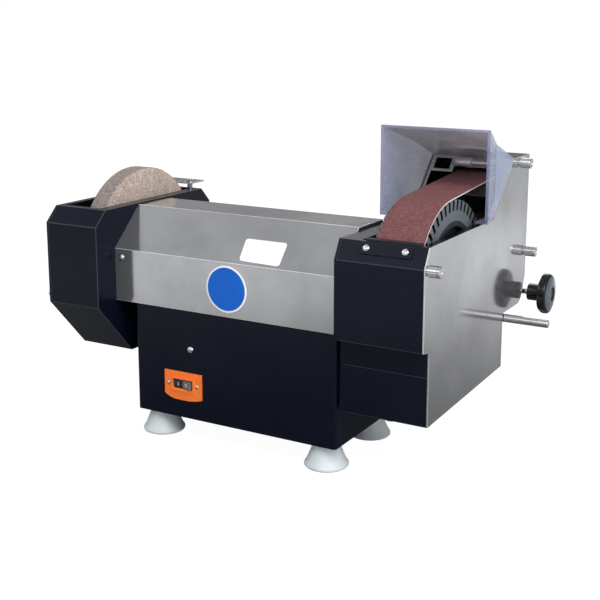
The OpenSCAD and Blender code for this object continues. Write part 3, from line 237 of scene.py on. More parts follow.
# colours are linear; a brushed sheet's three numbers stretch its noise along x, y and z
alongX, alongZ = (5, 620, 620), (620, 620, 5)
finish = {
    "black_coat": coatedSheet("blackCoat", (0.0034, 0.0052, 0.0125), (0.0070, 0.0092, 0.0185), 0.2, 0.00005),
    "hood_steel": brushedSheet("hoodSteel", (0.64, 0.645, 0.665), alongX, 0.075, 0.16, 0.10, 0.88),
    "cover_steel": brushedSheet("coverSteel", (0.71, 0.715, 0.735), alongZ, 0.07, 0.15, 0.10, 0.9),
    "bright_steel": brushedSheet("turnedSteel", (0.93, 0.93, 0.94), (260, 30, 30), 0.06, 0.14, 0.05),
    "dark_steel": coatedSheet("darkSteel", (0.035, 0.037, 0.042), (0.06, 0.055, 0.05), 0.5, 0.0001),
    # near-black cast parts; the dark also stands in for the shade in the contact hub's deep recess
    "cast_grey": coatedSheet("castDarkAndRecessShade", (0.022, 0.023, 0.026), (0.04, 0.04, 0.042), 0.55, 0.0002),
    "winding": coatedSheet("lacqueredSteel", (0.25, 0.11, 0.05), (0.32, 0.18, 0.1), 0.5, 0.0002),
    "foot_rubber": dullPlastic("footRubber", (0.58, 0.63, 0.65), 0.5),
    "black_rubber": dullPlastic("blackRubber", (0.010, 0.010, 0.012), 0.6, 0.0001),
    "tyre_rubber": dullPlastic("tyreRubber", (0.105, 0.122, 0.135), 0.6, 0.00015),
    "stone": gritSurface("wheelStone", (0.20, 0.15, 0.125), (0.76, 0.62, 0.535), (0.80, 0.70, 0.63),
                         700.0, 0.85, 0.0005, 0.7),
    "abrasive": gritSurface("beltGrit", (0.040, 0.014, 0.016), (0.262, 0.102, 0.108), (0.25, 0.12, 0.12),
                            1000.0, 0.75, 0.0003, 0.4),
    "black_plastic": dullPlastic("blackPlastic", (0.005, 0.0055, 0.007), 0.16, 0.00003, **coat(0.25, 0.06, 0.35)),
    "dull_plastic": dullPlastic("dullPlastic", (0.022, 0.023, 0.027), 0.4),
    "cap_plastic": dullPlastic("capPlastic", (0.5, 0.5, 0.48), 0.45),
    "orange_plastic": dullPlastic("orangePlastic", (0.96, 0.19, 0.018), 0.33, 0.00004, **coat(0.2)),
    "clear_plastic": clearPane("clearPane", (0.16, 0.185, 0.33), (0.42, 0.45, 0.72), 0.6, 0.07),
}
# lit copies of the clear pane: a painted reflection on the upward panes, a painted bluish sheen on the right-hand side
# panes, a painted highlight on the cut edges and on the folds
paneTopReflection = clearPane("paneTopReflection", (0.40, 0.35, 0.42), (0.70, 0.63, 0.74), 0.74, 0.07)
paneSideSheen = clearPane("paneSideSheen", (0.49, 0.56, 0.76), (0.66, 0.75, 0.95), 0.48, 0.07)
paneEdgeHighlight = clearPane("paneEdgeHighlight", (0.33, 0.37, 0.66), (0.42, 0.46, 0.76), 0.9, 0.25)
paneFoldHighlight = clearPane("paneFoldHighlight", (0.82, 0.83, 0.92), (0.88, 0.89, 0.95), 0.8, 0.15)
# a lighter black coat on rounded folds and edges: a painted highlight
coatEdgeHighlight = coatedSheet("coatEdgeHighlight", (0.040, 0.043, 0.056), (0.058, 0.062, 0.075), 0.3, 0.00004)
# pale, half-matt steel whose brightness is painted sheen: the highlight along the rounded folds of the hood and the
# side cover, and the whole of the slope plate and the spray pipe
paintedSheenSteel = brushedSheet("paintedSheenSteel", (0.95, 0.95, 0.96), alongX, 0.2, 0.34, 0.08, 0.45)
# a darker copy of the stone for the rim: painted shade, so the rim reads darker than the lit sides
stoneRimShade = gritSurface("stoneRimShade", (0.105, 0.082, 0.073), (0.40, 0.34, 0.315), (0.48, 0.43, 0.40),
                       700.0, 0.85, 0.0005, 0.7)
# paler orange on the switch plate's rounded edges: a painted highlight
orangeEdgeHighlight = dullPlastic("orangeEdgeHighlight", (0.95, 0.34, 0.06), 0.3, 0.00003)
# blue-grey on the knob's domed face: a painted sheen
knobFaceSheen = dullPlastic("knobFaceSheen", (0.036, 0.052, 0.088), 0.22, 0.00003, **coat(0.7, 0.08))
markWhite = dullPlastic("markWhite", (0.62, 0.62, 0.62), 0.4, 0.00002)
# near black for the tyre's slot walls: painted shade
tyreSlotShade = dullPlastic("tyreSlotShade", (0.006, 0.006, 0.007), 0.8, 0.0001)
beltEdge = dullPlastic("beltEdge", (0.66, 0.60, 0.58), 0.8)
beltBack = dullPlastic("beltBack", (0.30, 0.22, 0.17), 0.85, 0.0002)
signBlue = dullPlastic("signBlue", (0.001, 0.112, 0.56), 0.34, 0.00002, **coat(0.0, level=0.3))
signWhite = dullPlastic("signWhite", (0.86, 0.86, 0.865), 0.35, 0.00002)
rockerGrey = dullPlastic("rockerGrey", (0.15, 0.15, 0.17), 0.3, 0.00002)
print("materials made")


def linked(name, data):
    obj = bpy.data.objects.new(name, data)
    bpy.context.collection.objects.link(obj)
    return obj


def setMaterials(obj, *materials):
    # filled in place, because clearing the list would put every face back on the first slot
    slots = obj.data.materials
    while len(slots) < len(materials):
        slots.append(None)
    for index, material in enumerate(materials):
        slots[index] = material


def meshFrom(bm, name):
    mesh = bpy.data.meshes.new(name)
    bm.to_mesh(mesh)
    bm.free()
    return mesh


def smoothed(mesh, degrees):
    mesh.shade_smooth()
    mesh.set_sharp_from_angle(angle=math.radians(degrees))
    return mesh


def evaluated(work):
    # the mesh that the modifiers of a working object give; the object is removed
    mesh = bpy.data.meshes.new_from_object(work.evaluated_get(bpy.context.evaluated_depsgraph_get()))
    bpy.data.objects.remove(work)
    return mesh


def placePiece(name, mesh, body, slotName, *materials, replaced=""):
    obj = linked(name, mesh)
    setMaterials(obj, *(materials or (finish[slotName],)))
    if body:
        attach(obj, body)
    if replaced:
        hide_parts(replaced)
    return obj


def addPiece(name, bm, body, slotName, *materials, smooth=32, replaced=""):
    bmesh.ops.recalc_face_normals(bm, faces=bm.faces)
    return placePiece(name, smoothed(meshFrom(bm, name), smooth), body, slotName, *materials, replaced=replaced)


def mergedCopy(nodeName):
    bm = bmesh.new()
    bm.from_mesh(nodes[nodeName].data)
    bmesh.ops.remove_doubles(bm, verts=bm.verts, dist=2e-6)
    bmesh.ops.dissolve_limit(bm, angle_limit=math.radians(0.6), verts=bm.verts, edges=bm.edges)
    return bm


def faceWidth(face):
    return face.calc_area() / max(edge.calc_length() for edge in face.edges)


def roundedMesh(bm, name, materials, width, segments, newFaces, evenNormals=True):
    # the weighted edges rounded; newFaces is the slot of the rounding, -1 takes that of the faces beside it
    work = linked(name + "Work", meshFrom(bm, name))
    setMaterials(work, *materials)
    bevel = work.modifiers.new("bevel", "BEVEL")
    bevel.limit_method = "WEIGHT"
    bevel.width = width * mm
    bevel.segments = segments
    bevel.material = newFaces
    if evenNormals:
        work.modifiers.new("normals", "WEIGHTED_NORMAL").keep_sharp = True
    smoothed(work.data, 40)
    return evaluated(work)


def eased(nodeName, pieceName, body, slotName, fold, rim, broad=4.0, segments=3, edgeHighlight=None):
    # a copy of a CAD sheet whose folds get a bend radius and whose cut edges are broken; a given painted highlight goes
    # on the rounding
    bm = mergedCopy(nodeName)
    weight = bm.edges.layers.float.new("bevel_weight_edge")
    for edge in bm.edges:
        if len(edge.link_faces) != 2 or edge.calc_face_angle(0) < math.radians(20):
            continue
        wide = min(faceWidth(face) for face in edge.link_faces) > broad * mm
        if edge.is_convex:
            edge[weight] = 1.0 if wide else rim / fold
    materials = (finish[slotName], edgeHighlight) if edgeHighlight else (finish[slotName],)
    mesh = roundedMesh(bm, pieceName, materials, fold, segments, 1 if edgeHighlight else -1)
    return placePiece(pieceName, mesh, body, slotName, *materials, replaced=nodeName)


def islands(nodeName):
    # the lowest and highest corner of each separate solid of a node
    bm = mergedCopy(nodeName)
    left = set(bm.verts)
    found = []
    while left:
        stack = [left.pop()]
        seen = []
        while stack:
            vert = stack.pop()
            seen.append(vert.co.copy())
            for edge in vert.link_edges:
                other = edge.other_vert(vert)
                if other in left:
                    left.remove(other)
                    stack.append(other)
        found.append((Vector([min(v[i] for v in seen) for i in range(3)]),
                      Vector([max(v[i] for v in seen) for i in range(3)])))
    bm.free()
    return sorted(found, key=lambda pair: (round(pair[0].y, 4), round(pair[0].x, 4), pair[0].z))


def revolve(bm, profile, place, steps=64, shape=None, material=0):
    # profile holds (distance along the axis, radius) in millimetres from one pole to the other
    rings = []
    for along, radius in profile:
        along, radius = along * mm, radius * mm
        if radius < 1e-7:
            rings.append([bm.verts.new(place @ Vector((0, 0, along)))])
            continue
        ring = []
        for i in range(steps):
            angle = 2 * math.pi * i / steps
            r = radius if shape is None else shape(along, radius, angle)
            ring.append(bm.verts.new(place @ Vector((r * math.cos(angle), r * math.sin(angle), along))))
        rings.append(ring)
    for lower, upper in zip(rings, rings[1:]):
        for i in range(steps):
            j = (i + 1) % steps
            if len(lower) == 1 and len(upper) > 1:
                face = bm.faces.new((lower[0], upper[j], upper[i]))
            elif len(upper) == 1 and len(lower) > 1:
                face = bm.faces.new((lower[i], lower[j], upper[0]))
            elif len(lower) > 1:
                face = bm.faces.new((lower[i], lower[j], upper[j], upper[i]))
            else:
                continue
            face.material_index = material
    return rings


def turned(axis, at):
    # places a shape made along +Z so that it runs along the named axis from the given point
    turn = {"x": Matrix.Rotation(math.pi / 2, 4, "Y"), "-y": Matrix.Rotation(math.pi / 2, 4, "X"),
            "z": Matrix.Identity(4)}[axis]
    return Matrix.Translation(at) @ turn


def finishTree(tree, instances, out):
    real = addNode(tree, "GeometryNodeRealizeInstances", instances)
    paint = addNode(tree, "GeometryNodeSetMaterial", Geometry=real, Material=finish["bright_steel"])
    feed(tree, out, [("Geometry", paint)])


def makeKnurlTree():
    # small ridges standing round a cylinder that lies along x, one ring on each point of the base mesh
    tree, given, out, identifiers = newGroup("knurlRidges", "GeometryNodeTree", [
        ("Geometry", "Geometry", None), ("Radius", "Float", 0.007), ("Length", "Float", 0.01),
        ("Ridge Width", "Float", 0.0006), ("Ridges", "Int", 40)], [("Geometry", "Geometry")])
    ring = addNode(tree, "GeometryNodeMeshCircle", Vertices=given["Ridges"], Radius=given["Radius"])
    size = addNode(tree, "ShaderNodeCombineXYZ", given["Ridge Width"], given["Ridge Width"], given["Length"])
    bar = addNode(tree, "GeometryNodeMeshCube", Size=size)
    position = addNode(tree, "GeometryNodeInputPosition")
    facing = addNode(tree, "FunctionNodeAlignRotationToVector", axis="X", Vector=position)
    ridges = addNode(tree, "GeometryNodeInstanceOnPoints", Points=ring, Instance=bar, Rotation=facing)
    turn = addNode(tree, "GeometryNodeTransform", Geometry=ridges, Rotation=(0, math.pi / 2, 0))
    centres = addNode(tree, "GeometryNodeMeshToPoints", Mesh=given["Geometry"])
    rings = addNode(tree, "GeometryNodeInstanceOnPoints", Points=centres, Instance=turn)
    finishTree(tree, rings, out)
    return tree, identifiers


def makeScrewTree():
    # one screw, handed in as the Screw object, standing on each point and turned to its own angle
    tree, given, out, identifiers = newGroup("screwsOnPoints", "GeometryNodeTree", [
        ("Geometry", "Geometry", None), ("Turn", "Float", 0.7), ("Tilt", "Vector", (0, 0, 0)), ("Seed", "Int", 5),
        ("Screw", "Object", None)], [("Geometry", "Geometry")])
    points = addNode(tree, "GeometryNodeMeshToPoints", Mesh=given["Geometry"])
    info = addNode(tree, "GeometryNodeObjectInfo", Object=given["Screw"])
    # input 3 and output 1 are the node's largest float and its float result
    angle = addNode(tree, "FunctionNodeRandomValue", data_type="FLOAT", Seed=given["Seed"])
    feed(tree, angle, [(3, given["Turn"])])
    spin = addNode(tree, "ShaderNodeCombineXYZ", Z=angle.outputs[1])
    spinRotation = addNode(tree, "FunctionNodeEulerToRotation", spin)
    tiltRotation = addNode(tree, "FunctionNodeEulerToRotation", given["Tilt"])
    turn = addNode(tree, "FunctionNodeRotateRotation", tiltRotation, spinRotation, rotation_space="LOCAL")
    placed = addNode(tree, "GeometryNodeInstanceOnPoints", Points=points, Instance=info.outputs["Geometry"],
                     Rotation=turn)
    finishTree(tree, placed, out)
    return tree, identifiers


def runTree(name, points, treeAndIdentifiers, values, replaced=""):
    # a steel piece of the machine: what the tree makes of the points
    tree, identifiers = treeAndIdentifiers
    mesh = bpy.data.meshes.new(name + "Points")
    mesh.from_pydata([tuple(point) for point in points], [], [])
    work = linked(name + "Work", mesh)
    modifier = work.modifiers.new("nodes", "NODES")
    modifier.node_group = tree
    for key, value in values.items():
        modifier[identifiers[key]] = value
    placePiece(name, smoothed(evaluated(work), 30), "machine", "bright_steel", replaced=replaced)


knurlTree = makeKnurlTree()
screwTree = makeScrewTree()
print("trees made")


def fromCorner(x, y, z):
    # millimetres from the cabinet's lower left front corner to the frame's metres
    return Vector(((x - 178.2) * mm, (y - 164.0) * mm, (z + 32.0) * mm))


# sheets: bend radius and broken edge in millimetres, and the painted highlight on the rounding
for nodeName, pieceName, slotName, fold, broken, edgeHighlight in (
        ("cabinet", "cabinetShell", "black_coat", 1.2, 0.3, coatEdgeHighlight),
        ("hood", "hoodSheet", "hood_steel", 1.9, 0.3, paintedSheenSteel),
        ("wheel_guard", "wheelGuardShell", "black_coat", 1.4, 0.4, coatEdgeHighlight),
        ("guard_cover", "wheelGuardCover", "black_coat", 0.5, 0.5, coatEdgeHighlight),
        ("front_cover", "beltFrontCover", "black_coat", 2.2, 0.35, coatEdgeHighlight),
        ("rear_cover", "beltRearCover", "black_coat", 1.4, 0.35, coatEdgeHighlight),
        ("trough", "beltTrough", "black_coat", 1.4, 0.35, coatEdgeHighlight),
        ("side_cover", "beltSideCover", "cover_steel", 0.5, 0.5, paintedSheenSteel),
        ("slope_plate", "slopePlate", "hood_steel", 0.8, 0.3, None),
        ("back_splash", "backSplash", "hood_steel", 0.4, 0.4, None),
        ("lip_strip", "lipStrip", "black_coat", 0.6, 0.5, coatEdgeHighlight)):
    eased(nodeName, pieceName, "machine", slotName, fold, broken, edgeHighlight=edgeHighlight)
# the whole slope plate is in the pale steel: painted sheen
setMaterials(bpy.data.objects["slopePlate"], paintedSheenSteel)
eased("splash_plate", "splashPlate", "splash", "hood_steel", 0.4, 0.3)
eased("housing_wall", "housingWall", "machine", "black_coat", 0.4, 0.3)

# steel deflector under the upper run, fixed to the inside of the side cover
deflector = {"left": 352.0, "right": 415.75, "lowY": 227.3, "lowZ": 287.8, "rise": 70 / 66, "run": 15.0, "thick": 1.5,
             "flange": 12.0, "broken": 0.3}


def makeDeflector():
    bm = bmesh.new()
    d = deflector
    along = Vector((0, 1, d["rise"])).normalized()
    inward = Vector((0, d["rise"], -1)).normalized()
    foot = Vector((0, d["lowY"], d["lowZ"]))
    long = d["run"] * math.hypot(1, d["rise"])

    def slab(x0, x1, depth):
        corners = []
        for x in (x0, x1):
            for point in (foot, foot + along * long, foot + along * long + inward * depth, foot + inward * depth):
                corners.append(bm.verts.new(fromCorner(x, point.y, point.z)))
        a, b = corners[:4], corners[4:]
        bm.faces.new(a)
        bm.faces.new(b)
        for i in range(4):
            bm.faces.new((a[i], a[(i + 1) % 4], b[(i + 1) % 4], b[i]))

    slab(d["left"], d["right"] - d["thick"], d["thick"])
    slab(d["right"] - d["thick"], d["right"], d["flange"])
    bmesh.ops.recalc_face_normals(bm, faces=bm.faces)
    bmesh.ops.bevel(bm, geom=bm.edges[:], offset=d["broken"] * mm, segments=2, affect="EDGES")
    addPiece("beltDeflector", bm, "machine", "hood_steel")


makeDeflector()

# lapped lower sheet on the front of the trough
lap = {"share": 0.667, "proud": 0.55, "sunk": 0.2, "side": 1.2, "foot": 1.0, "round": 0.5}


def makeLap():
    low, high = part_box("trough")
    bottom = low.z + lap["foot"] * mm
    top = low.z + (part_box("front_cover")[0].z - low.z) * lap["share"]
    near, far = low.y - lap["proud"] * mm, low.y + lap["sunk"] * mm
    bm = bmesh.new()
    cube = bmesh.ops.create_cube(bm, size=1)["verts"]
    bmesh.ops.scale(bm, vec=(high.x - low.x - 2 * lap["side"] * mm, far - near, top - bottom), verts=cube)
    bmesh.ops.translate(bm, vec=((low.x + high.x) / 2, (near + far) / 2, (bottom + top) / 2), verts=cube)
    upper = [edge for edge in bm.edges if all(vert.co.z > top - 1e-5 and vert.co.y < low.y for vert in edge.verts)]
    made = bmesh.ops.bevel(bm, geom=upper, offset=lap["round"] * mm, segments=3, affect="EDGES")["faces"]
    # the rounded top edge and the upward face take the lighter coat: a painted highlight on the top
    for face in bm.faces:
        if face in made or face.normal.z > 0.9:
            face.material_index = 1
    addPiece("troughLap", bm, "machine", "black_coat", finish["black_coat"], coatEdgeHighlight)


makeLap()
print("sheets eased")

# rubber feet
foot = {"footWidth": 56.0, "neckWidth": 33.0, "height": 32.0, "edge": 3.2, "seat": 22.0, "bore": 4.2}


def makeFeet():
    bm = bmesh.new()
    half, neck = foot["footWidth"] / 2, foot["neckWidth"] / 2
    edge, height, seat = foot["edge"], foot["height"], foot["seat"]
    profile = [(0.0, 0.0), (0.0, 8.0), (3.5, 8.6), (4.0, 9.6), (4.0, seat - 1.5), (3.2, seat), (0.0, seat + 0.8),
               (0.0, half - edge)]
    for i in range(9):
        angle = math.radians(-80 + 100 * i / 8)
        profile.append((edge + edge * math.sin(angle), half - edge + edge * math.cos(angle)))
    start = edge * 1.4
    for i in range(9):
        t = i / 8
        profile.append((start + (height - 2 - start) * t, half - 0.4 - (half - 0.4 - neck) * (t ** 0.8)))
    profile += [(height - 0.8, neck - 0.4), (height, neck - 1.2), (height, foot["bore"]), (height, 0.0)]
    for lowest, highest in islands("feet"):
        middle = (lowest + highest) / 2
        revolve(bm, profile, turned("z", Vector((middle.x, middle.y, lowest.z))), 72)
    addPiece("rubberFeet", bm, "machine", "foot_rubber", replaced="feet")


makeFeet()

# grinding wheel: a stone ring with a worn, pitted surface
stone = {"width": 26.0, "outer": 108.0, "bore": 10.2, "flange": 31.0, "rings": 18, "rough": 0.28, "round": 1.2,
         "steps": 420, "grain": 420, "fine": 2.7}


def makeStone():
    bm = bmesh.new()
    low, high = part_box("grinding_wheel")
    centre = (low + high) / 2
    half, outer, flange = stone["width"] / 2, stone["outer"], stone["flange"]
    first, count = flange + 3, stone["rings"]
    sides = [first + (outer - stone["round"] - first) * i / count for i in range(count + 1)]
    profile = [(-half, stone["bore"]), (-half, flange), *[(-half, r) for r in sides], (-half + 0.4, outer - 0.4)]
    profile += [(-half + 1.3 + (stone["width"] - 2.6) * i / 10, outer) for i in range(11)]
    profile += [(half - 0.4, outer - 0.4), *[(half, r) for r in reversed(sides)]]
    profile += [(half, flange), (half, stone["bore"]), (-half, stone["bore"])]
    revolve(bm, profile, turned("x", centre), stone["steps"])
    bmesh.ops.remove_doubles(bm, verts=bm.verts, dist=1e-6)
    for vert in bm.verts:
        out = Vector((0, vert.co.y - centre.y, vert.co.z - centre.z))
        if out.length < (flange + 2) * mm:
            continue
        spot = vert.co * stone["grain"]
        bite = 0.5 + 0.5 * noise.noise(spot) + 0.35 * noise.noise(spot * stone["fine"])
        bite = max(0.0, min(1.0, bite)) * stone["rough"] * mm
        if out.length > (outer - 1.0) * mm:
            vert.co -= out.normalized() * bite
        else:
            vert.co.x += bite if vert.co.x < centre.x else -bite
    # faces on the rim take the darker copy of the stone: painted shade
    for face in bm.faces:
        spot = face.calc_center_median()
        face.material_index = int(Vector((0, spot.y - centre.y, spot.z - centre.z)).length > (outer - 0.9) * mm)
    addPiece("grindingStone", bm, "spindle_set", "stone", finish["stone"], stoneRimShade, smooth=60,
             replaced="grinding_wheel")


makeStone()

# abrasive belt: grit outside, cloth inside, pale cut edges
beltShape = {"wheel": (375, 96, 202), "idler": (375, 290, 285), "runPieces": 18, "startShare": 0.42, "endShare": 0.92,
             "idlerRoom": 30.85}


def makeBelt():
    bm = mergedCopy("abrasive_belt")
    long = [edge for edge in bm.edges if edge.calc_length() > 30 * mm
            and abs(edge.verts[0].co.x - edge.verts[1].co.x) < 1 * mm]
    bmesh.ops.subdivide_edges(bm, edges=long, cuts=beltShape["runPieces"], use_grid_fill=True)
    bmesh.ops.recalc_face_normals(bm, faces=bm.faces)
    wheel, idler = fromCorner(*beltShape["wheel"]), fromCorner(*beltShape["idler"])
    line = idler - wheel
    for face in bm.faces:
        if abs(face.normal.x) > 0.9:
            face.material_index = 1
            continue
        spot = face.calc_center_median()
        share = max(0, min(1, (spot - wheel).dot(line) / line.length_squared))
        inward = wheel + line * share - spot
        inward.x = 0
        if face.normal.dot(inward) > 0:
            face.material_index = 2
    # room for the idler's tilt between its ends and the inner side of the belt
    room = beltShape["idlerRoom"] * mm
    for vert in bm.verts:
        out = Vector((0, vert.co.y - idler.y, vert.co.z - idler.z))
        if out.length < room and out.dot(line) > 0:
            out *= room / out.length
            vert.co = Vector((vert.co.x, idler.y + out.y, idler.z + out.z))
    obj = addPiece("abrasiveBeltLoop", bm, None, "abrasive", finish["abrasive"], beltEdge, beltBack, smooth=40,
                   replaced="abrasive_belt")
    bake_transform(obj)


makeBelt()

# crowned idler: the belt centres itself on it, and its ends stay clear of the belt when it tilts
idlerShape = {"crown": 0.6, "rings": 9, "shell": 28.5}


def makeIdler():
    bm = mergedCopy("idler_roller")
    low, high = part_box("idler_roller")
    middle = (low + high) / 2
    long = [edge for edge in bm.edges if abs(edge.verts[0].co.x - edge.verts[1].co.x) > 30 * mm]
    bmesh.ops.subdivide_edges(bm, edges=long, cuts=idlerShape["rings"], use_grid_fill=True)
    for vert in bm.verts:
        out = Vector((0, vert.co.y - middle.y, vert.co.z - middle.z))
        if out.length > idlerShape["shell"] * mm:
            share = (vert.co.x - middle.x) / (high.x - middle.x)
            vert.co -= out.normalized() * idlerShape["crown"] * mm * share * share
    addPiece("idlerCrowned", bm, "idler", "cast_grey", smooth=40, replaced="idler_roller")


makeIdler()


def makeSpring():
    obj = addPiece("tensionSpringCoil", mergedCopy("tension_spring"), None, "bright_steel", smooth=60,
                   replaced="tension_spring")
    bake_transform(obj)


makeSpring()


def makeTyre():
    # grey moulded flanks and tread; the walls in the slots are painted near black as the shade inside them
    tyre = eased("contact_tyre", "contactTyre", "spindle_set", "tyre_rubber", 0.75, 0.75, 0.5, 2)
    low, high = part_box("contact_tyre")
    centre = (low + high) / 2
    reach = (high.z - low.z) / 2
    setMaterials(tyre, finish["tyre_rubber"], tyreSlotShade)
    for face in tyre.data.polygons:
        out = Vector((0, face.center.y - centre.y, face.center.z - centre.z))
        flank = abs(face.normal.x) > 0.97
        tread = out.length > reach - 0.9 * mm and abs(face.normal.dot(out.normalized())) > 0.3
        face.material_index = 0 if flank or tread else 1


makeTyre()
# the hub's deep recess is dark through the near-black cast colour: painted shade
eased("contact_hub", "contactHub", "spindle_set", "cast_grey", 0.8, 0.4)
print("wheels and belt made")

# tracking knob: a round hub and a fluted grip with a domed face
knob = {"x": 423.8, "y": 337.0, "z": 141.0, "flutes": 6, "radius": 28.0, "fluteDepth": 2.7, "fluteLength": 11.5,
        "hubRadius": 11.6, "hubLength": 18.0, "grip": 15.3, "face": 12.8, "screwRadius": 4.0, "collarX": 334.8}


def makeKnob():
    bm = bmesh.new()
    hub, radius, start = knob["hubRadius"], knob["radius"] - 0.1, knob["hubLength"]
    end = start + knob["grip"]
    centre = fromCorner(knob["x"], knob["y"], knob["z"])

    def fluted(along, r, angle):
        # oval finger hollows round the rim, deepest halfway through its thickness
        along = (along / mm - start) / knob["fluteLength"]
        if not 0 < along < 1:
            return r
        wave = (0.5 - 0.5 * math.cos(knob["flutes"] * angle)) ** 1.4
        return r - knob["fluteDepth"] * mm * wave * math.sin(math.pi * along) ** 0.7

    profile = [(0, 0), (0, hub - 1.0), (0.3, hub - 0.3), (1.0, hub), (start - 3.0, hub), (start - 1.6, hub + 0.3),
               (start - 0.6, hub + 1.2), (start, hub + 2.6)]
    profile += [(start + along, radius - less) for along, less in (
        (0.1, 8.5), (0.3, 5.5), (0.8, 3.0), (1.6, 1.3), (2.8, 0.4), (4.2, 0.0), (5.6, 0.0), (7.0, 0.0), (8.4, 0.1),
        (9.8, 0.3), (11.0, 0.9), (12.0, 2.0), (12.9, 4.4))]
    profile += [(end - back, radius - less) for back, less in (
        (1.3, 9.5), (0.6, 12.5), (0.1, 16.0), (0.0, 18.2), (0.4, 19.0), (1.5, 19.6), (1.8, 21.0))]
    revolve(bm, profile + [(end - 1.9, 0)], turned("x", centre), 144, fluted)
    # the domed face outside the middle takes the blue-grey painted sheen
    for face in bm.faces:
        spot = face.calc_center_median() - centre
        if spot.x > (start + knob["face"]) * mm and math.hypot(spot.y, spot.z) > 11 * mm:
            face.material_index = 2
    screw = knob["screwRadius"]
    low = (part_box("tracking_knob")[0].x - centre.x) / mm
    revolve(bm, [(low, 0), (low, screw - 0.5), (low + 0.5, screw), (-0.05, screw), (-0.05, 0)], turned("x", centre), 32,
            material=1)
    collar = fromCorner(knob["collarX"], knob["y"], knob["z"])
    revolve(bm, [(0, 0), (0, 7.6), (0.4, 8), (3.6, 8), (4, 7.6), (4, 0)], turned("x", collar), 40, material=1)
    addPiece("trackingKnobGrip", bm, "knob", "black_plastic", finish["black_plastic"], finish["bright_steel"], knobFaceSheen,
             smooth=50, replaced="tracking_knob")


makeKnob()

# knurled nuts that hold the side cover: a smooth collar, the knurled middle, a groove and a rounded end
nutShape = {"radius": 6.7, "collar": 2.0, "bore": 3.0, "ridgeWidth": 0.5, "ridges": 40}


def makeKnurledNuts():
    bm = bmesh.new()
    places = islands("knurled_nuts")
    long = (places[0][1].x - places[0][0].x) / mm
    r, collar, bore = nutShape["radius"], nutShape["collar"], nutShape["bore"]
    first, last = collar + 0.9, long - 4.4
    profile = [(0, 0), (0, r - 1.7), (0.3, r - 1.3), (collar, r - 1.3), (collar + 0.5, r - 0.3), (first, r), (last, r),
               (long - 4.2, r - 0.7), (long - 3.4, r - 0.7), (long - 3.2, r), (long - 2.9, r + 0.2),
               (long - 1.0, r + 0.2), (long - 0.4, r - 0.1), (long, r - 1.2), (long, bore), (long - 0.5, bore - 0.4),
               (long - 0.6, 0)]
    middles = []
    for lowest, highest in places:
        middle = (lowest + highest) / 2
        revolve(bm, profile, turned("x", Vector((lowest.x, middle.y, middle.z))), 48)
        middles.append(Vector((lowest.x + (first + last) / 2 * mm, middle.y, middle.z)))
    addPiece("knurledNuts", bm, "machine", "bright_steel", replaced="knurled_nuts")
    runTree("nutKnurls", middles, knurlTree, {"Radius": r * mm, "Length": (long - 6.0) * mm,
                                              "Ridge Width": nutShape["ridgeWidth"] * mm, "Ridges": nutShape["ridges"]})


makeKnurledNuts()

# tension lever: a straight round rod with broken edges
rod = {"radius": 5.5, "broken": 0.5, "round": 1.4}


def makeRod():
    low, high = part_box("tension_lever")
    radius, round, long = rod["radius"], rod["round"], (high.x - low.x) / mm
    profile = [(0, 0), (0, radius - rod["broken"]), (rod["broken"], radius), (long - round, radius)]
    profile += [(long - round + round * math.sin(math.radians(a)), radius - round + round * math.cos(math.radians(a)))
                for a in range(15, 91, 15)]
    bm = bmesh.new()
    revolve(bm, profile + [(long, 0)], turned("x", Vector((low.x, (low.y + high.y) / 2, (low.z + high.z) / 2))), 48)
    addPiece("tensionRod", bm, "arm", "bright_steel", replaced="tension_lever")


makeRod()

# clear guard: folded plastic sheet; its pale cut edges carry a painted highlight, its folds a near-white painted
# highlight, and the upward and right-hand panes are tinted as painted reflection
guardSheet = {"thin": 4.2, "fold": 2.2, "edgeShare": 0.14, "rightSideFrom": 395}


def makeClearGuard():
    bm = mergedCopy("clear_guard")
    thin = guardSheet["thin"] * mm
    rightSide = fromCorner(guardSheet["rightSideFrom"], 0, 0).x
    # cut edges, right-hand side panes and upward panes take the copies with painted light
    for face in bm.faces:
        if faceWidth(face) < thin:
            face.material_index = 1
        elif abs(face.normal.x) > 0.5 and face.calc_center_median().x > rightSide:
            face.material_index = 3
        elif abs(face.normal.z) > 0.45:
            face.material_index = 4
    weight = bm.edges.layers.float.new("bevel_weight_edge")
    for edge in bm.edges:
        if len(edge.link_faces) == 2 and edge.calc_face_angle(0) > math.radians(15):
            edge[weight] = guardSheet["edgeShare"] if min(faceWidth(face) for face in edge.link_faces) < thin else 1.0
    panes = (finish["clear_plastic"], paneEdgeHighlight, paneFoldHighlight, paneSideSheen, paneTopReflection)
    mesh = roundedMesh(bm, "clearGuardPanes", panes, guardSheet["fold"], 3, 2, evenNormals=False)
    placePiece("clearGuardPanes", mesh, "guard", "clear_plastic", *panes, replaced="clear_guard")


makeClearGuard()
eased("guard_hinge", "guardHinge", "machine", "bright_steel", 0.3, 0.3, 0.5, 2)

# spray pipe: a fitting with a collar and a groove, then the thin pipe to its end
spray = {"fitting": 24.0, "body": 5.9, "collar": 7.0, "collarStart": 0.66, "groove": 0.45, "pipe": 3.5}


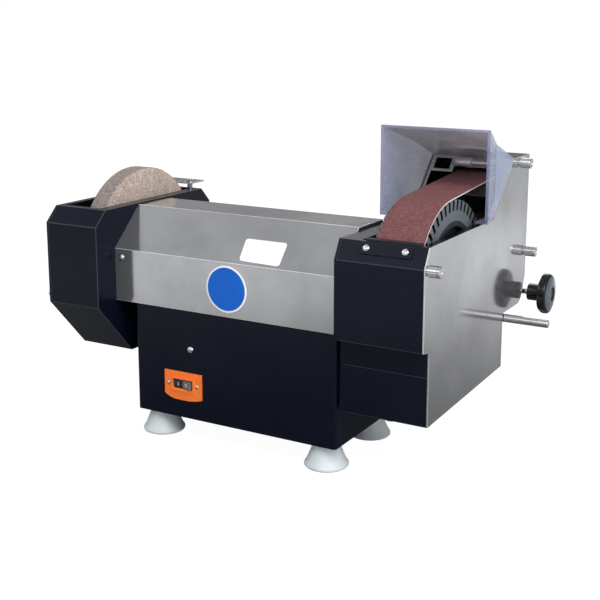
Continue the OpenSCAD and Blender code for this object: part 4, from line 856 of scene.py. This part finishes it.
def makeSprayPipe():
    low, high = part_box("spray_pipe")
    long = (high.x - low.x) / mm
    fitting, body, collar, pipe = spray["fitting"], spray["body"], spray["collar"], spray["pipe"]
    step = fitting * spray["collarStart"]
    groove = step * spray["groove"]
    profile = [(0.8, 0), (0.8, 2.6), (0, 3.0), (0, body - 1.2), (0.8, body - 0.3), (1.6, body), (groove, body),
               (groove + 0.3, body - 0.8), (groove + 1.3, body - 0.8), (groove + 1.6, body), (step, body),
               (step + 0.2, collar - 0.6), (step + 0.8, collar), (fitting - 1.0, collar), (fitting - 0.3, collar - 0.6),
               (fitting, pipe + 0.8), (fitting + 0.1, pipe), (long - 0.4, pipe), (long, pipe - 0.4), (long, 0)]
    bm = bmesh.new()
    revolve(bm, profile, turned("x", Vector((low.x, (low.y + high.y) / 2, (low.z + high.z) / 2))), 48)
    # the whole pipe is in the pale steel: painted sheen
    addPiece("sprayPipe", bm, "machine", "bright_steel", paintedSheenSteel, smooth=35, replaced="spray_pipe")


makeSprayPipe()

# small fittings: rounding of broad and of narrow edges in millimetres, its segments and its painted highlight
for nodeName, pieceName, slotName, fold, broken, segments, edgeHighlight in (
        ("cable_gland", "cableGland", "black_plastic", 0.4, 0.4, 2, None),
        ("guard_nuts", "guardNuts", "bright_steel", 0.5, 0.5, 2, None),
        ("switch_plate", "switchPlate", "orange_plastic", 0.9, 0.6, 3, orangeEdgeHighlight),
        ("lip_rubber", "lipRubber", "black_rubber", 0.5, 0.5, 2, None),
        ("splash_spacers", "splashSpacers", "bright_steel", 0.4, 0.4, 2, None),
        ("drain_plugs", "drainPlugs", "dull_plastic", 0.5, 0.5, 2, None)):
    eased(nodeName, pieceName, "machine", slotName, fold, broken, 0.5, segments, edgeHighlight)

# rocker: black half and grey half, each with its on or off mark
rockerMarks = {"line": 0.9, "long": 4.6, "ring": 2.3, "proud": 0.12, "steps": 32}


def makeRocker():
    rocker = eased("switch_rocker", "switchRocker", "rocker", "dull_plastic", 0.5, 0.5, 0.5, 3)
    setMaterials(rocker, finish["dull_plastic"], rockerGrey)
    low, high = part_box("switch_rocker")
    fronts = {}
    for face in rocker.data.polygons:
        right = face.center.x > (low.x + high.x) / 2
        face.material_index = int(right)
        if face.normal.y < -0.9 and (right not in fronts or face.area > fronts[right].area):
            fronts[right] = face
    bm = bmesh.new()
    tall, line, steps = rockerMarks["proud"], rockerMarks["line"], rockerMarks["steps"]
    for right, face in fronts.items():
        out = face.normal.copy()
        across = Vector((0, 0, 1)).cross(out).normalized()
        place = Matrix.Translation(face.center) @ Matrix((across, Vector((0, 0, 1)), out)).transposed().to_4x4()
        if right:
            outer, inner = rockerMarks["ring"], rockerMarks["ring"] - line
            rings = revolve(bm, [(-tall, outer), (tall, outer), (tall, inner), (-tall, inner)], place, steps)
            for i in range(steps):
                j = (i + 1) % steps
                bm.faces.new((rings[3][i], rings[3][j], rings[0][j], rings[0][i]))
        else:
            cube = bmesh.ops.create_cube(bm, size=1)["verts"]
            bmesh.ops.scale(bm, vec=(line * mm, rockerMarks["long"] * mm, 2 * tall * mm), verts=cube)
            bmesh.ops.transform(bm, matrix=place, verts=cube)
    addPiece("rockerMarks", bm, "rocker", "dull_plastic", markWhite)


makeRocker()
print("fittings made")

# small screws: one model for each kind, stood on points
screwKinds = {
    "pan": {"head": 8.8, "height": 2.35, "recess": 1.3},
    "dome": {"head": 9.3, "height": 3.6, "recess": 0.0},
    "small": {"head": 5.4, "height": 1.5, "recess": 0.8},
}


def screwHead(name, head, height, recess):
    # a rounded head on its seat at z = 0, with a cross recess if it has one
    bm = bmesh.new()
    r = head / 2
    profile = [(-2.0, 0), (-2.0, r * 0.42), (0, r * 0.42), (0, r)]
    for i in range(1, 8):
        angle = math.radians(90 * i / 8)
        profile.append((height * math.sin(angle) ** 0.9, r * (0.28 + 0.72 * math.cos(angle))))
    profile.append((height, r * 0.34))
    if recess:
        profile += [(height - 0.1, r * 0.32), (height - recess * 0.9, r * 0.20), (height - recess, 0)]
    else:
        profile += [(height + 0.02, r * 0.2), (height + 0.03, 0)]

    def crossed(along, radius, angle):
        if not recess or radius > r * 0.33 * mm:
            return radius
        return radius * (0.35 + 0.65 * abs(math.cos(2 * angle)) ** 2)

    revolve(bm, profile, Matrix.Identity(4), 48, crossed)
    bmesh.ops.recalc_face_normals(bm, faces=bm.faces)
    return linked(name, meshFrom(bm, name))


def standScrews(name, points, kind, tilt, seed, replaced=""):
    model = screwHead(name + "Model", **screwKinds[kind])
    runTree(name, points, screwTree, {"Screw": model, "Turn": 1.5, "Tilt": tilt, "Seed": seed}, replaced)
    bpy.data.objects.remove(model)


# tilts of a screw whose head faces the front, the back, or out of the front cover's bevel
toFront, toBack, bevelLean = math.pi / 2, -math.pi / 2, math.atan2(23, 13)
lipScrew = {"xs": (341, 390), "foot": (-11, 240), "up": 17.42, "out": 2.02}
hoodScrew = {"x": -20, "rightX": 292.6, "z": 205, "front": -0.02, "back": 170.02}
switchScrew = {"domeWidth": 7, "domeSeat": 1.5, "panSeat": 1.6}


def standLipScrews():
    up = Vector((0, math.cos(bevelLean), math.sin(bevelLean)))
    outward = Vector((0, -math.sin(bevelLean), math.cos(bevelLean)))
    step = (up * lipScrew["up"] + outward * lipScrew["out"]) * mm
    spots = [fromCorner(x, *lipScrew["foot"]) + step for x in lipScrew["xs"]]
    standScrews("lipScrews", spots, "pan", (bevelLean, 0, 0), 3, "lip_screws")


def standHoodScrews():
    x, z = hoodScrew["x"], hoodScrew["z"]
    standScrews("hoodScrewsFront", [fromCorner(x, hoodScrew["front"], z)], "pan", (toFront, 0, 0), 4, "hood_screws")
    backs = [fromCorner(x, hoodScrew["back"], z), fromCorner(hoodScrew["rightX"], hoodScrew["back"], z)]
    standScrews("hoodScrewsBack", backs, "pan", (toBack, 0, 0), 6)


def standSmallScrews():
    # the two screws of the switch plate have pan heads, the wider one above it a dome
    pans, domes = [], []
    for lowest, highest in islands("small_screws"):
        middle = (lowest + highest) / 2
        if (highest.x - lowest.x) / mm > switchScrew["domeWidth"]:
            domes.append(Vector((middle.x, fromCorner(0, switchScrew["domeSeat"], 0).y, middle.z)))
        else:
            pans.append(Vector((middle.x, lowest.y + switchScrew["panSeat"] * mm, middle.z)))
    standScrews("switchScrews", pans, "small", (toFront, 0, 0), 8, "small_screws")
    standScrews("domeScrew", domes, "dome", (toFront, 0, 0), 9)


standLipScrews()
standHoodScrews()
standSmallScrews()

# round sign with a white rim
sign = {"x": 145.3, "z": 182.0, "radius": 30.0, "rim": 2.3, "thick": 0.4}


def makeSign():
    bm = bmesh.new()
    thick, outer, inner = sign["thick"], sign["radius"], sign["radius"] - sign["rim"]
    place = turned("-y", fromCorner(sign["x"], -0.02, sign["z"]))
    revolve(bm, [(0, 0), (0, outer), (thick * 0.7, outer), (thick, outer - 0.2), (thick, inner)], place, 96, material=1)
    revolve(bm, [(thick, inner), (thick, 0)], place, 96)
    bmesh.ops.remove_doubles(bm, verts=bm.verts, dist=1e-6)
    addPiece("signDisc", bm, "machine", "hood_steel", signBlue, signWhite)


makeSign()

# plain label with rounded corners on the hood's slope, which runs back and down by the numbers under slope
label = {"corners": ((158, 28, 243), (218, 28, 243), (220, 3, 219), (162, 4, 220)), "middle": (190, 26.5, 241.5),
         "slope": (53, 51), "round": 4.5, "bottom": 0.02, "top": 0.3}


def makeLabel():
    back, rise = label["slope"]
    up, normal = Vector((0, back, rise)).normalized(), Vector((0, -rise, back)).normalized()
    base = fromCorner(*label["middle"])
    offsets = [fromCorner(*corner) - base for corner in label["corners"]]
    flat = [Vector((off.x, off.dot(up))) for off in offsets]
    points = []
    for i, here in enumerate(flat):
        first = here + (flat[i - 1] - here).normalized() * label["round"] * mm
        last = here + (flat[(i + 1) % len(flat)] - here).normalized() * label["round"] * mm
        points += [(1 - t) ** 2 * first + 2 * t * (1 - t) * here + t * t * last for t in (0, 0.25, 0.5, 0.75, 1)]
    bm = bmesh.new()
    top, bottom = ([bm.verts.new(base + Vector((p.x, 0, 0)) + up * p.y + normal * label[side] * mm) for p in points]
                   for side in ("top", "bottom"))
    bm.faces.new(top)
    bm.faces.new(list(reversed(bottom)))
    for i in range(len(points)):
        j = (i + 1) % len(points)
        bm.faces.new((bottom[i], bottom[j], top[j], top[i]))
    addPiece("plainLabel", bm, "machine", "hood_steel", signWhite)


makeLabel()

# nodes that keep their own shape get their finish
for row in frame["record"]["subparts"]:
    obj = nodes[row["node"]]
    setMaterials(obj, *[finish[row["material_slot"]]] * max(1, len(obj.material_slots)))
print("finishes given")


def clearedTree(owner):
    owner.use_nodes = True
    owner.node_tree.nodes.clear()
    return owner.node_tree


# a ramp holds two distances or heights, and the levels at them
floorLook = {"reach": 30, "matte": 0.72, "glow": 1.13, "glowShare": 0.86, "near": (0.2, 1.25, 0.12, 0.7),
             "far": (1.4, 2.1, 1.0, 0.7)}


def makeFloor():
    # white where the camera sees it, and in reflections a painted shade: darker near the machine than far off
    reach, matte = floorLook["reach"], floorLook["matte"]
    mesh = bpy.data.meshes.new("studioFloor")
    corners = [(-reach, -reach, 0), (reach, -reach, 0), (reach, reach, 0), (-reach, reach, 0)]
    mesh.from_pydata(corners, [], [(0, 1, 2, 3)])
    material = bpy.data.materials.new("studioFloor")
    tree = clearedTree(material)
    path = addNode(tree, "ShaderNodeLightPath").outputs
    seen = calc(tree, "MAXIMUM", path["Is Camera Ray"], path["Is Transmission Ray"])
    diffuse = addNode(tree, "ShaderNodeBsdfDiffuse", Color=(matte, matte, matte, 1))
    glow = addNode(tree, "ShaderNodeEmission", Color=(1, 1, 1, 1), Strength=floorLook["glow"])
    direct = addNode(tree, "ShaderNodeMixShader", calc(tree, "MULTIPLY", seen, floorLook["glowShare"]), diffuse, glow)
    away = addNode(tree, "ShaderNodeVectorMath", coordinates(tree), operation="LENGTH").outputs["Value"]
    level = calc(tree, "MULTIPLY", ramp(tree, away, *floorLook["near"]), ramp(tree, away, *floorLook["far"]))
    mirrored = addNode(tree, "ShaderNodeEmission", Color=(0.98, 0.99, 1, 1), Strength=level)
    mix = addNode(tree, "ShaderNodeMixShader", path["Is Glossy Ray"], direct, mirrored)
    addNode(tree, "ShaderNodeOutputMaterial", mix)
    obj = linked("studioFloor", mesh)
    obj.data.materials.append(material)


makeFloor()


# the cards are a bright one in front and a dark one behind that only round and leaning metal picks up;
# each holds three bounds of direction: axis, outside, inside
worldLook = {"soft": 0.42, "white": 1.0, "rise": (0.05, 0.75, 0.25, 0.455), "least": 0.02, "darker": -0.44,
             "brightCard": ((2, 0.2, 0.34), (2, 0.74, 0.6), (1, -0.05, -0.3)),
             "darkCard": ((2, 0.4, 0.5), (2, 0.84, 0.76), (1, 0.25, 0.38))}


def makeWorld():
    # white for the camera, soft for the light on the object, and in metal darker near the horizon than overhead
    world = bpy.data.worlds.new("studio")
    bpy.context.scene.world = world
    tree = clearedTree(world)
    path = addNode(tree, "ShaderNodeLightPath").outputs
    direction = addNode(tree, "ShaderNodeSeparateXYZ", coordinates(tree, "Generated")).outputs

    def cardMask(bounds):
        # one where the direction is inside every bound, zero outside
        mask = 1.0
        for axis, outside, inside in bounds:
            rising = float(inside > outside)
            side = ramp(tree, direction[axis], min(outside, inside), max(outside, inside), 1 - rising, rising)
            mask = calc(tree, "MULTIPLY", mask, side)
        return mask

    rise = ramp(tree, direction[2], *worldLook["rise"])
    level = calc(tree, "MULTIPLY_ADD", cardMask(worldLook["darkCard"]), worldLook["darker"], rise)
    level = calc(tree, "ADD", cardMask(worldLook["brightCard"]), level)
    level = calc(tree, "MAXIMUM", level, worldLook["least"])
    soft = addNode(tree, "ShaderNodeBackground", Color=(0.95, 0.97, 1.0, 1), Strength=worldLook["soft"])
    white = addNode(tree, "ShaderNodeBackground", Color=(1, 1, 1, 1), Strength=worldLook["white"])
    mirrored = addNode(tree, "ShaderNodeBackground", Color=(0.98, 0.99, 1.0, 1), Strength=level)
    glossy = addNode(tree, "ShaderNodeMixShader", path["Is Glossy Ray"], soft, mirrored)
    seen = calc(tree, "MAXIMUM", path["Is Camera Ray"], path["Is Transmission Ray"])
    mix = addNode(tree, "ShaderNodeMixShader", seen, glossy, white)
    addNode(tree, "ShaderNodeOutputWorld", mix)


makeWorld()


def addLamp(name, place, size, power, mirrored):
    light = bpy.data.lights.new(name, "AREA")
    light.shape = "RECTANGLE"
    light.size, light.size_y = size
    light.energy = power
    obj = linked(name, light)
    obj.location = place
    obj.rotation_euler = (Vector((0, 0, 0.2)) - Vector(place)).to_track_quat("-Z", "Y").to_euler()
    obj.visible_glossy = mirrored


addLamp("topSoft", (0.9, -1.1, 2.2), (1.6, 1.6), 48, False)
addLamp("rightSoft", (2.2, -0.6, 1.2), (1.3, 1.7), 22, True)
addLamp("backSoft", (-0.6, 2.2, 1.6), (1.6, 1.2), 14, True)

# camera
cameraData = bpy.data.cameras.new("camera")
cameraData.sensor_width = 36
cameraData.lens = 65.907
cameraData.shift_y = -0.1
camera = linked("camera", cameraData)
camera.location = (0.7114, -1.2693, 0.5465)
camera.rotation_euler = (math.radians(90 - 11.4687), 0, math.radians(30.0028))
bpy.context.scene.camera = camera
bpy.context.scene.view_settings.view_transform = "Standard"
print("camera and lights made")
